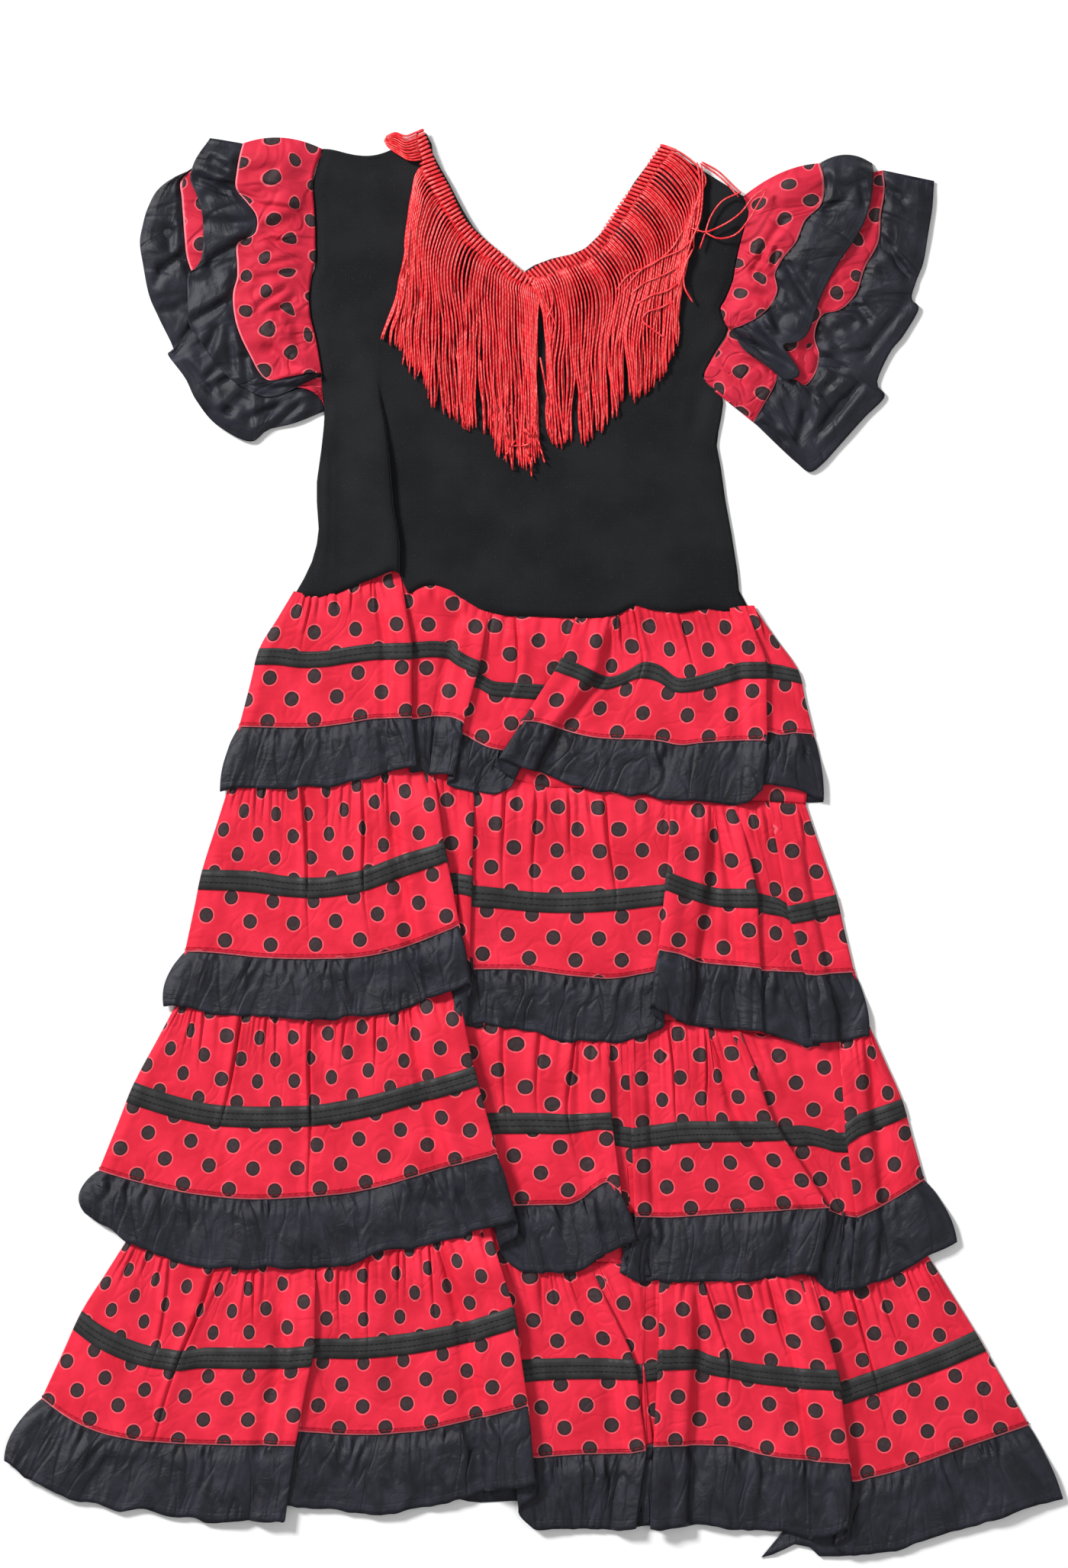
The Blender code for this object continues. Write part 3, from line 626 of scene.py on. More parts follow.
TIER_3 = dict(
    top=(
        (-232, 569), (-130, 574), (-88, 569), (-50, 557), (-37, 577), (25, 587), (82, 585), (100, 585),
        (131, 591), (160, 595), (220, 588),
    ),
    ribbons=(
        ((-262, 625), (-246.5, 630.5), (-227, 636.5), (-208, 640), (-184.5, 641), (-152, 640.5),
         (-139.5, 639.5), (-110.5, 634.5), (-83, 627), (-58, 620), (-39, 614)),
        ((-34, 645), (0, 645), (24, 646), (50.5, 644.5)),
        ((52, 653), (66, 655)),
        ((64, 655), (97.5, 650.5), (129, 650.5), (157.5, 650)),
        ((160, 654), (183.5, 653), (190, 658), (201.5, 658)),
        ((204, 652), (211, 646.5), (241, 636)),
    ),
    seams=(
        ((-285.5, 683), (-266, 689), (-246.5, 694), (-223.5, 698.5), (-196, 701.5), (-180.5, 702),
         (-149.5, 700.5), (-118, 697.5), (-95, 692), (-62, 682), (-23, 671.5)),
        ((-18, 706), (7, 705.5), (27, 705), (36, 697.5), (46, 690), (50, 691), (57.5, 697.5)),
        ((56, 712), (66, 713)),
        ((66, 713), (88.5, 714), (122.5, 711.5), (156.5, 709.5), (194, 707)),
        ((194, 709), (200, 712), (212, 714)),
        ((211, 714), (231, 705), (256, 689)),
    ),
    hems=(
        ((-294.5, 711), (-280, 720), (-265, 730), (-246.5, 738.5), (-225, 744.5), (-198, 747), (-161, 747),
         (-130, 746), (-114.5, 742.5), (-99, 734.5), (-71.5, 732), (-33, 722), (-10.5, 716)),
        ((-32, 742), (-25, 742.5), (-13, 748.5), (9, 749.5), (27, 748.5), (38.5, 744.5), (57, 731),
         (68, 728)),
        ((56, 750), (62, 752.5)),
        ((61, 752.5), (70.5, 757), (88.5, 756), (122.5, 756), (156.5, 753.5), (186, 750)),
        ((184, 752), (190.5, 763.5), (201.5, 761.5), (208, 761)),
        ((207, 761), (215, 760), (235.5, 752.5), (256, 741), (277.5, 729)),
    ),
    laps=(
        (1, -51, 8.0, 12, 1.0), (1, 49, 5.0, 7, 1.3), (-1, 61, 3.2, 4, 0.6), (1, 136, 4.5, 7, 1.0),
        (-1, 199, 4.2, 6, 0.8),
    ),
    pleats=(
        (-216.5, -236, 0.7, 0.35, 1), (-189, -214, 1.0, 0.9, 1), (-170, -174, 0.7, 0.3, 1),
        (-146.5, -147, 1.2, 1.0, 1), (-124, -124, 0.7, 0.3, 1), (-103, -96, 0.8, 0.45, 1),
        (-76, -66, 0.5, 0.2, 1), (-20, -4, 0.8, 0.6, 1), (4, 14, 0.8, 0.6, 1), (27, 31, 0.9, 0.85, 1),
        (68, 84, 0.6, 0.25, 1), (88, 106, 0.9, 0.6, 1), (112, 138, 0.9, 0.6, 1), (161, 201, 0.7, 0.6, 1),
        (214, 236, 0.5, 0.25, 1),
    ),
    creases=(
        (-76, 636, -99, 690, 7, 1.2, 0.5), (28, 664, 56, 690, 6, 0.8, 0.7),
        (-189, 640, -219, 700, 12, 0.7, 0.6), (-146, 640, -147, 700, 9, 0.5, 0.8),
        (200, 640, 208, 712, 8, 0.8, 0.0), (78, 650, 90, 700, 14, 0.6, 0.4),
    ),
    fall=60.0, ribbon=13.5, phase=(0.025, 0.005), bulge=(-8.0, 4.0), seed=13,
)
TIER_4 = dict(
    top=(
        (-266, 727), (-231, 738), (-172, 742), (-125, 740), (-80, 727), (-31, 714), (-14, 738), (27, 742),
        (56, 744), (62, 748), (146, 748), (190, 752), (225, 750), (256, 735),
    ),
    ribbons=(
        ((-296.5, 775), (-283, 785), (-265, 794), (-249.5, 798.5), (-223, 802), (-217, 799), (-194, 799),
         (-162.5, 799), (-144, 797)),
        ((-142, 793), (-115.5, 793), (-82, 789.5), (-48.5, 783), (-13, 771.5)),
        ((-8, 806.5), (30.5, 805.5), (65.5, 806.5)),
        ((68, 810), (78, 808)),
        ((81.5, 800), (102, 799.5), (110.5, 800.5), (115.5, 804), (139.5, 809), (171, 812), (199, 813)),
        ((200, 822), (232, 811), (261, 800.5), (289, 788)),
    ),
    seams=(
        ((-323, 832.5), (-305.5, 845.5), (-287.5, 854.5), (-260.5, 860), (-234, 862), (-205, 863),
         (-156, 863)),
        ((-154, 854), (-127, 856), (-104.5, 856.5), (-71, 853.5), (-37.5, 845.5), (-3, 836.5)),
        ((2, 871), (30.5, 869), (62, 868.5), (74, 866)),
        ((75, 865), (78, 864)),
        ((78, 863.5), (103, 863), (127.5, 863.5), (139.5, 867), (156.5, 871), (181, 873), (208, 875)),
        ((210, 887), (236.5, 880.5), (261, 872), (285, 863.5), (324.5, 850)),
    ),
    hems=(
        ((-347.5, 873), (-328, 887), (-305.5, 897), (-272, 905.5), (-260.5, 904.5), (-238.5, 910),
         (-216, 913), (-185, 913), (-163.5, 913)),
        ((-160, 901.5), (-149, 903.5), (-127, 906), (-109, 908), (-82, 906), (-60, 902.5), (-28.5, 892.5),
         (1, 887.5)),
        ((-6, 918), (28, 917), (47.5, 917.5), (66, 917)),
        ((67, 917), (76, 917)),
        ((76.5, 917), (104, 917), (107, 914), (120, 917), (139.5, 918), (158, 919.5), (180, 923),
         (197, 921), (206, 917)),
        ((187, 936), (212, 935), (236.5, 932), (251, 927), (273, 921), (297, 914.5), (321, 906),
         (347, 897.5)),
    ),
    laps=(
        (1, -143, 4.4, 7, 1.0), (1, -31, 8.5, 12, 1.0), (1, 36, 4.0, 5, 0.4), (-1, 82, 6.5, 9, 1.0),
        (1, 182, 6.5, 10, 1.0),
    ),
    pleats=(
        (-237, -268, 0.9, 0.7, 1), (-206, -250, 1.1, 1.0, 1), (-183, -200, 0.7, 0.4, 1),
        (-128, -138, 0.7, 0.5, 1), (-110, -114, 0.9, 0.6, 1), (-89, -88, 0.8, 0.35, 1),
        (-70, -58, 0.9, 0.5, 1), (-50, -30, 0.6, 0.3, 1), (4, 18, 0.7, 0.35, 1), (104, 128, 1.1, 0.9, 1),
        (128, 150, 0.7, 0.4, 1), (155, 176, 0.8, 0.5, 1), (204, 236, 1.0, 0.9, 1), (224, 262, 0.8, 0.45, 1),
        (242, 292, 0.6, 0.35, 1),
    ),
    creases=(
        (139, 760, 113, 803, 6, 0.9, -0.6), (168, 770, 188, 796, 5, 0.6, 0.6),
        (188, 830, 159, 862, 5, 0.7, 0.7), (-129, 804, -218, 868, 12, 0.9, 0.5),
        (-214, 740, -252, 805, 12, 0.8, 0.6), (104, 806, 130, 850, 8, 1.0, 0.7),
        (-72, 760, -56, 772, 5, 0.6, 0.6), (236, 790, 242, 860, 9, 0.8, 0.6),
    ),
    fall=64.0, ribbon=14.0, phase=(0.035, 0.004), bulge=(-6.0, 2.0), seed=14,
)
TIERS = (TIER_1, TIER_2, TIER_3, TIER_4)
FRONT_BASE = 3.5
TOP_HEIGHT = 1.95
BACK_PANEL, BACK_RIBBON, BACK_RUFFLE = 1.35, 0.66, 0.62
FLAT_STEP = 15.0
FINE = 1.25
RUFFLE_CUT = 0.0016  # metres of ruffle cloth to each millimetre of seam
BACK_RUFFLE_LONG = 0.044
RIBBON_WALL = 0.0004
RIBBON_LIFT = 0.0006
CLEARANCE = 0.9
FIVE = np.array([0, 0.25, 0.5, 0.75, 1.0])  # the top, halfway, the ribbon, halfway, the seam
OPEN = np.array([1, 0.85, 0.6, 0.4, 0.25, 0.2, 0.2, 0.2, 0.2, 0.2, 0.5, 0.85, 1])  # freedom in a lap


def lap_rows(side, deep, before, beyond):
    """Offsets, shares and freedom of a lap's stations from left to right, with room before and beyond."""
    dx = LAP[:, 0]
    dx = np.where(dx > 0, dx * beyond, np.where(dx < -1, -0.5 + (dx + 0.5) * before, dx))
    rows = np.stack([dx * deep, LAP[:, 1], LAP[:, 2], OPEN], axis=1)
    return rows if side > 0 else rows[::-1] * (-1, 1, 1, 1)


def stations(tier):
    """The tier's cloth as stations in order from its left side seam to its right one.

    A station holds six acrosses and six drops, for the five lines and the hem; its height, how free the
    cloth is there, and its stretch: a whole number between laps, with the way to the next as a fraction.
    With them come the pleats (station, size, reach, side) and each piece's top width over its seam's.
    """
    pieces, laps, top = list(zip(tier["ribbons"], tier["seams"], tier["hems"])), tier["laps"], tier["top"]
    found, pleats, flares = [], [], []

    def add(xs, ds, height, free, span):
        """Adds a station from its acrosses and drops at the top, the ribbon, the seam and the hem."""
        (x0, x1, x2, x3), (d0, d1, d2, d3) = xs, ds
        found.append((x0, (x0 + x1) / 2, x1, (x1 + x2) / 2, x2, x3,
                      d0, (d0 + d1) / 2, d1, (d1 + d2) / 2, d2, d3, height, free, span))

    def drops_of(piece, xs):
        """Drops of the four lines at four acrosses."""
        return [at_across(line, x) for line, x in zip((top,) + piece, xs)]

    def ends_of(top_x, piece, end):
        """Acrosses of the top and of a piece's three lines at their first or last points."""
        return np.array([top_x] + [line[end][0] for line in piece])

    edges = [ends_of(top[0][0], pieces[0], 0)]
    for number, (side, top_x, *_) in enumerate(laps):
        upper, end = (pieces[number], -1) if side > 0 else (pieces[number + 1], 0)
        edges.append(ends_of(top_x, upper, end))
    edges.append(ends_of(top[-1][0], pieces[-1], -1))
    needs = [(0.0, 0.0)] + [(2.6, 1.1)[::lap[0]] for lap in laps] + [(0.0, 0.0)]
    depths = [0.0] + [lap[3] for lap in laps] + [0.0]
    for number, piece in enumerate(pieces):
        low, high = edges[number], edges[number + 1]
        need = needs[number][1] * depths[number], needs[number + 1][0] * depths[number + 1]
        scale = np.clip((high - low)[1] * 0.85 / max(sum(need), 0.1), 0.15, 1)
        low = low + need[0] * scale + (number > 0)
        high = high - need[1] * scale - (number < len(laps))
        low, high = np.minimum(low, (low + high) / 2), np.maximum((low + high) / 2, high)
        wide = high[2] - low[2]
        flares.append((high[0] - low[0]) / max(wide, 1.0))
        inside = [p for p in tier["pleats"] if low[2] + 3 < p[1] < high[2] - 3] if wide > 14 else []
        while inside and high[0] - low[0] < 4 * (len(inside) + 1):
            inside.pop()
        marks = [(low[0], low[2])]
        for k, pleat in enumerate(inside):
            marks.append((max(marks[-1][0] + 3, min(pleat[0], high[0] - 3 * (len(inside) - k))), pleat[1]))
        marks.append((high[0], high[2]))
        for gap, ((top_a, seam_a), (top_b, seam_b)) in enumerate(zip(marks, marks[1:])):
            count = max(2, int(round(max(seam_b - seam_a, top_b - top_a) / FLAT_STEP)) + 1)
            for q in np.linspace(0, 1, count)[(1 if gap else 0):]:
                top_x, seam_x = top_a + (top_b - top_a) * q, seam_a + (seam_b - seam_a) * q
                part = (top_x - low[0]) / max(high[0] - low[0], 0.1)
                if wide > 2:
                    part = (seam_x - low[2]) / wide
                xs = low + (high - low) * part
                xs[0], xs[2] = top_x, seam_x
                add(xs, drops_of(piece, xs), 0.0, 1.0, number)
            if gap < len(inside):
                pleats.append((len(found) - 1,) + tuple(inside[gap][2:]))
        if number == len(laps):
            break
        (side, _, crest, deep, below), after = laps[number], pieces[number + 1]
        upper, lower = (piece, after) if side > 0 else (after, piece)
        far = edges[number + 2] - edges[number + 1]
        rest = needs[number + 1][1] * deep + needs[number + 2][0] * depths[number + 2]
        onward = np.clip(far[1] * 0.85 / max(rest, 0.1), 0.15, 1)
        before, beyond = (scale, onward)[::side]
        for dx, share, to_lower, free in lap_rows(side, deep, before, beyond):
            xs = edges[number + 1] + dx * np.array([1, 1, 1, below if abs(dx) < deep else 1])
            over, under = np.array(drops_of(upper, xs)), np.array(drops_of(lower, xs))
            add(xs, over + (under - over) * to_lower, share * crest, free,
                number + (to_lower if side > 0 else 1 - to_lower))
    return np.array(found), pleats, flares


def front_cloth(tier, place_in_rows):
    """The tier's smooth surface at rows (0 the top, 0.5 the ribbon, 1 the seam, then to 2 the hem).

    Gives the across, drop, height, freedom and length along the cloth, from side seam to side seam, the
    pleats as (length along, size, reach, side, slant), and the print's coordinate along the cloth.
    """
    found, pleats, flares = stations(tier)
    xs, ds = found[:, :6], found[:, 6:12]
    lift, free, span = found[:, 12:].T
    p = np.asarray(place_in_rows, float)
    upper, below = np.clip(p, 0, 1), np.clip(p - 1, 0, 1)
    x_rows = spline(FIVE, xs[:, :5].T, upper).T + (xs[:, 5:] - xs[:, 4:5]) * below
    d_rows = spline(FIVE, ds[:, :5].T, upper).T + (ds[:, 5:] - ds[:, 4:5]) * below
    height = lift[:, None] * (0.12 + 0.88 * smooth((upper - 0.05) / 0.25))
    steps = np.hypot(np.hypot(np.diff(xs[:, 4]), np.diff(ds[:, 4])), np.diff(lift) * 0.6)
    steps = np.maximum(steps, 0.6 * np.abs(np.diff(xs[:, 0])))
    knots = running(np.maximum(steps, 0.35))
    lapped = np.flatnonzero(free < 1)
    along = [np.linspace(0, knots[-1], int(knots[-1] / FINE))]
    along += [knots[lapped], (knots[lapped] + knots[lapped + 1]) / 2]
    along += [knots[at] + np.array([-1.3, -0.8, -0.4, 0.0, 0.4, 0.8, 1.3]) for at, *_ in pleats]
    along = np.unique(np.concatenate(along))
    along = along[np.concatenate([[True], np.diff(along) > 0.16])]
    x, d, z = (spline(knots, values, along).T for values in (x_rows, d_rows, height))
    freedom = np.clip(np.interp(along, knots, free), 0, 1)
    random = np.random.default_rng(tier["seed"])
    folds = [(knots[at], size, reach, side, 0.0) for at, size, reach, side in pleats]
    at = random.uniform(3, 9)
    while at < knots[-1] - 4:
        if all(abs(at - fold[0]) > 4 for fold in folds[:len(pleats)]):
            folds.append((at, random.uniform(0.3, 0.75), random.uniform(0.12, 0.38),
                          random.choice((-1, 1, 1)), random.uniform(-9, 9)))
        at += random.uniform(4.5, 12)
    seam = np.stack([xs[:, 4], ds[:, 4]], axis=-1)
    at_span = np.clip(np.interp(along, knots, span), 0, len(flares) - 1.0001)
    part = np.clip((at_span % 1 - 0.25) * 8, 0, 1)
    shown = 0
    whole = at_span.astype(int)
    for k in range(len(flares)):
        share = np.where(whole == k, 1 - part, 0) + np.where(whole == k - 1, part, 0)
        u, v = laid_out(seam, knots, np.flatnonzero(span == k), x, d, along)
        u = u + (along - u) * 0.3 * np.clip((1.3 - flares[k]) / 0.3, 0, 1)
        shown = shown + np.stack([u, v], axis=-1) * share[:, None]
    return x, d, z, freedom, along, folds, shown


def laid_out(seam, knots, own, x, d, along):
    """Print coordinates of points on one piece: how far along its seam, and how far square off it.

    The seam is taken as the parabola nearest to it, or where it is short as a straight line. A point's
    foot on it is found by stepping along it by the point's offset in its direction, three times over.
    """
    length = knots[own[-1]] - knots[own[0]]
    if length < 30:
        own = np.arange(max(own[0] - 14, 0), min(own[-1] + 14, len(seam) - 1) + 1)
    curve = np.polyfit(knots[own], seam[own], 2 if length > 100 else 1).T
    if length <= 100:
        slope = curve[:, 0] / np.hypot(*curve[:, 0])
        curve = np.stack([slope, seam[own].mean(axis=0) - slope * knots[own].mean()], axis=1)
    foot = np.broadcast_to(along, x.shape)
    for step in range(4):
        run_x, run_d = (np.polyval(np.polyder(terms), foot) for terms in curve)
        away_x, away_d = x - np.polyval(curve[0], foot), d - np.polyval(curve[1], foot)
        if step < 3:
            foot = foot + (away_x * run_x + away_d * run_d) / (run_x ** 2 + run_d ** 2)
    return foot, (away_x * run_d - away_d * run_x) / np.hypot(run_x, run_d)


def pleated(folds, along, p):
    """Height of the pleats, and how much cloth each hides, at rows p from 0 at the top.

    A pleat is a soft ridge beside a sharp crease. With q the distance from the crease, its height is
    size (1.5 exp(-((q + 2.6) / 2.9)^2) - 1.9 exp(-(q / 0.95)^2) + 0.4 exp(-((q - 3.2) / 2.6)^2)), and the
    hidden cloth is size 1.1 q exp(-(q / 4)^2), close to the crease. Both die out down its reach.
    """
    height, hidden = np.zeros((2,) + np.broadcast(along, p).shape)
    for at, size, reach, side, slant in folds:
        q = (along - at - slant * p - 0.8 * np.sin(p * 9 + at)) * side
        hold = size * (1 - smooth((p - 0.05) / reach) if reach < 1 else 1 - 0.75 * smooth(p))
        height += hold * (1.5 * np.exp(-((q + 2.6) / 2.9) ** 2) - 1.9 * np.exp(-(q / 0.95) ** 2)
                          + 0.4 * np.exp(-((q - 3.2) / 2.6) ** 2))
        hidden += hold * side * 1.1 * q * np.exp(-(q / 4) ** 2)
    return height, hidden


def panel_height(tier, p, height, freedom, along, x, d, folds):
    """Height of the panel and its hidden cloth: base, folds, pleats, long soft swells and creases."""
    seed = tier["seed"]
    base = TOP_HEIGHT + (FRONT_BASE - TOP_HEIGHT) * smooth(p / 0.2)
    out = smooth(p / 0.16)
    swell = 1.1 * ripple(along / 36 + 5, p * 1.3, seed) + 0.75 * ripple(along / 15, p * 1.2 + 3, seed + 20)
    pucker = 0.16 * ripple(along / 5.5, p * 9, seed + 60) * np.exp(-((p - 0.56) / 0.09) ** 2)
    pucker += 0.20 * ripple(along / 4.4, p * 9, seed + 80) * smooth((p - 0.88) / 0.12)
    grain = 0.16 * ripple(x / 9, d / 7, seed + 90)
    crease = creased(x, d, tier["creases"]) * smooth((p - 0.05) / 0.15)
    pleat, hidden = pleated(folds, along, p)
    soft = 1.15 * swell * out + 1.45 * pleat * smooth(p / 0.08) + pucker + crease + grain
    lowest = TOP_HEIGHT + 1.05 * smooth((p - 0.75) / 0.25)
    raised = np.maximum(base + height + soft * freedom, lowest)
    return to_side_seams(raised, along, EDGE_HEIGHT), hidden * freedom


def to_side_seams(height, along, level, reach=9.0):
    """Rounds the cloth down to a level at both side seams."""
    near = np.minimum(along, along[-1] - along)
    return level + (height - level) * smooth(near / reach) ** 0.7


def panel_points(tier, p):
    """Points and both UV maps of the front panel at rows p."""
    x, d, height, freedom, along, folds, shown = front_cloth(tier, p)
    p = np.asarray(p)[:, None]
    z, hidden = panel_height(tier, p, height, freedom, along, x, d, folds)
    step = np.hypot(np.diff(x, axis=0), np.diff(d, axis=0))
    v = np.concatenate([np.cumsum(step[::-1], axis=0)[::-1], np.zeros((1, x.shape[1]))])
    shown = (shown + cut_of(hidden, 0 * hidden)) * MM
    return place(x, d, z), cut_of(along, v) * MM, shown - np.array(tier["phase"])


def puckered(along, w, seed):
    """Height of a gathered strip from its seam at w = 0 to its hem at w = 1, made of creases.

    Bunches of short sharp creases hang from the seam, with a long one here and there, and short slanting
    ones lie lower down. A crease is a trough with a ridge on its left: with q the distance from it over
    its width, depth (0.8 exp(-((q + 1.9) / 1.5)^2) - exp(-q q)).
    """
    random = np.random.default_rng(seed)
    draw = random.uniform
    total = np.zeros(np.broadcast(along, w).shape)
    kinds = []  # middle, slant, width, depth, start, reach, bend
    at = 0.0
    while at < along[-1]:
        for _ in range(random.integers(1, 5)):
            at += draw(2.2, 5.0)
            kinds.append((at, draw(-14, 14), draw(0.75, 1.3), draw(0.8, 2.0), 0.0, draw(0.10, 0.34), 0.6))
        at += draw(4, 18)
    for _ in range(int(along[-1] / 40)):
        kinds.append((draw(0, along[-1]), draw(-14, 14), draw(1.3, 2.4), draw(1.0, 2.0), 0.0,
                      draw(0.5, 1.0), 1.6))
    for _ in range(int(along[-1] / 18)):
        kinds.append((draw(0, along[-1]), draw(30, 75) * random.choice((-1, 1)), draw(1.2, 2.0),
                      draw(0.4, 0.9), draw(0.2, 0.75), draw(0.15, 0.3), 1.5))
    for middle, slant, width, depth, start, reach, bend in kinds:
        q = (along - middle - slant * (w - start) - bend * np.sin(w * 9 + middle)) / width
        fade = smooth((w - start) / 0.05) * (1 - smooth((w - start) / reach))
        total += depth * fade * (0.8 * np.exp(-((q + 1.9) / 1.5) ** 2) - np.exp(-q * q))
    return total


def ruffle_points(tier, w):
    """Points and cut of a front ruffle at rows w, from 0 at the seam to 1 at the hem.

    It leaves from just behind the panel's edge, follows that edge's height, and swells a little. Over
    its creases lie broad waves that grow to the hem, both along the cloth.
    """
    seed = tier["seed"] + 200
    w = np.asarray(w)
    x, d, height, freedom, along, folds, _ = front_cloth(tier, 1 + np.maximum(w, 0))
    seam_row = np.ones((1, 1))
    at_seam = panel_height(tier, seam_row, height[:1], freedom, along, x[:1], d[:1], folds)[0]
    near = np.minimum(along, along[-1] - along)
    w = w[:, None]
    d = d + np.minimum(w, 0) * 45
    bow = 4 * w * (1 - w) * np.exp(-near / 14)
    x = x + np.where(along < along[-1] / 2, *tier["bulge"]) * np.maximum(bow, 0)
    level = FRONT_BASE + height * (1 - 0.1 * w)
    level = level + (at_seam - FRONT_BASE - height[:1]) * (1 - smooth(w / 0.4))
    base = place(x, d, level)
    leaning = along + 9 * ripple(along / 60, 0 * w, seed + 1) * w
    waves_down = 1.7 * ripple(leaning / 21 + 3, w * 0.7 + 7, seed + 4) * smooth(w / 0.5)
    waves_down += 0.75 * ripple(leaning / 8.5 + 3, w * 1.5 + 7, seed + 5) * smooth(w / 0.3)
    puff = 1.9 * smooth(w / 0.25) - 0.8
    free = 0.25 + 0.75 * freedom
    rise = puff * (0.45 + 0.55 * freedom) + (1.15 * puckered(along, w, seed + 2) + waves_down) * free
    points = base + outward(base) * np.maximum(rise, -0.8)[..., None] * MM
    hem_wave = 1.5 * ripple(leaning / 12, 0 * w, seed + 6) + 0.6 * ripple(along / 5, 0 * w, seed + 7)
    points[..., 1] -= hem_wave * smooth((w - 0.7) / 0.3) * free * MM
    lowest = 2.15 + 0.6 * smooth(w / 0.2) + 0.9 * smooth((w - 0.5) / 0.3)
    at_ends = EDGE_HEIGHT - 0.5 + 2.4 * smooth((w - 0.3) / 0.4)
    z = to_side_seams(np.maximum(points[..., 2] * 1000, lowest), along, at_ends, 6.0)
    points[..., 2] = np.maximum(z, 0.9) * MM
    long = 44.0 if tier is TIER_1 else 46.0
    return points, cut_of(along * RUFFLE_CUT, (1 - w) * long * MM)


def crease_lines(tree, pair, scale, width):
    """Height of thin sharp creases: low where a warped cloud noise crosses its middle value."""
    return ramp(tree, away_from(tree, noise(tree, pair, scale, 1.0, 1.1), 0.5), 0.0, width)


def stitch_row(tree, v, level, inner, outer):
    """A row of stitches at a level of V, 1 in its middle and 0 past its outer half width."""
    return ramp(tree, away_from(tree, v, level), inner, outer, 1.0, 0.0)


def dashes(tree, u, pitch, share):
    """1 on each stitch and 0 between them, at the pitch along U."""
    return sums(tree, "LESS_THAN", sums(tree, "FRACT", sums(tree, "DIVIDE", u, pitch)), share)


DOT_PITCH = (0.0308, 0.0286)  # of each of the two lattices, along and down the cloth


def to_nearest_dot(tree, pair):
    """Distance to the nearest dot of two rectangular lattices half a pitch apart both ways."""
    distances = []
    for offset in (0.5, 0.0):
        spot = pair
        for operation, by in (("DIVIDE", DOT_PITCH + (1.0,)), ("ADD", (offset, offset, 0.0)),
                              ("FRACTION", (0.0, 0.0, 0.0)), ("SUBTRACT", (0.5, 0.5, 0.0)),
                              ("MULTIPLY", DOT_PITCH + (0.0,))):
            spot = node(tree, "VectorMath", {0: spot, 1: by}, operation=operation).outputs[0]
        distances.append(node(tree, "VectorMath", {0: spot}, operation="LENGTH").outputs["Value"])
    return sums(tree, "MINIMUM", *distances)


def dotted_finish(name, stitched):
    """Red woven cloth with a printed lattice of charcoal dots, each with a thin paler edge.

    The distance to the nearest dot gives the dot and its edge. A stitched cloth has a row of stitches
    along its seam, and both have a painted highlight along the folded edge at the seam. The cloth that
    is not stitched, on the sleeves, has a darker red: painted shade.
    """
    made, tree, shader = finish_of(name, 0.62, Sheen_Weight=0.05, Sheen_Roughness=0.4,
                                   Specular_IOR_Level=0.16)
    _, _, pair = axes(tree, "print")
    cut_u, cut_v, cut = axes(tree, "cut")
    uneven = noise(tree, pair, 420.0, 2.0)
    ragged = sums(tree, "MULTIPLY", sums(tree, "SUBTRACT", uneven, 0.5), 0.6 * MM)
    nearest = sums(tree, "ADD", to_nearest_dot(tree, pair), ragged)
    dot = ramp(tree, nearest, 0.0046, 0.0050, 1.0, 0.0)
    rim = ramp(tree, nearest, 0.0036, 0.0042, 0.0, 0.75)
    halo = ramp(tree, nearest, 0.0053, 0.0060, 0.5, 0.0)
    cloud = ramp(tree, noise(tree, cut, 30.0, 5.0), 0.3, 0.7)
    # Painted shade: the cloth that is not stitched, on the sleeves, takes a darker copy of the same red.
    deep = 1.0 if stitched else 0.78
    red = blended(tree, cloud, (0.59 * deep, 0.011, 0.032, 1), (0.77 * deep, 0.022, 0.054, 1))
    red = blended(tree, halo, red, (0.92, 0.17, 0.20, 1))
    grey = blended(tree, uneven, (0.020, 0.012, 0.014, 1), (0.056, 0.035, 0.039, 1))
    grey = blended(tree, rim, grey, (0.030, 0.003, 0.006, 1))
    shade = blended(tree, dot, red, grey)
    threads = sums(tree, "ADD", waves(tree, cut, "X", 0.6 * MM), waves(tree, cut, "Y", 0.6 * MM))
    under = bumped(tree, shader, threads, 0.08 * MM, 0.45)
    crumple = noise(tree, cut, 95.0, 3.0, 0.6)
    under = bumped(tree, shader, crumple, 0.9 * MM, 0.35 if stitched else 0.7, under)
    creases = crease_lines(tree, cut, 38.0, 0.11)
    under = bumped(tree, shader, creases, 1.3 * MM, 0.2 if stitched else 0.6, under)
    # Painted highlight: a pale pink band along the folded edge at the seam.
    fold = ramp(tree, cut_v, 0.0006, 0.0011, 0.75, 0.0)
    shade = blended(tree, fold, shade, (0.95, 0.24, 0.28, 1))
    if stitched:
        row = stitch_row(tree, cut_v, 0.0026, 0.00025, 0.00055)
        thread = sums(tree, "MULTIPLY", row, dashes(tree, cut_u, 0.0042, 0.66))
        shade = blended(tree, sums(tree, "MULTIPLY", thread, 0.7), shade, (0.34, 0.005, 0.014, 1))
        bumped(tree, shader, sums(tree, "MULTIPLY", row, -1.0), 0.4 * MM, 0.8, under)
    tree.links.new(shade, shader.inputs["Base Color"])
    return made


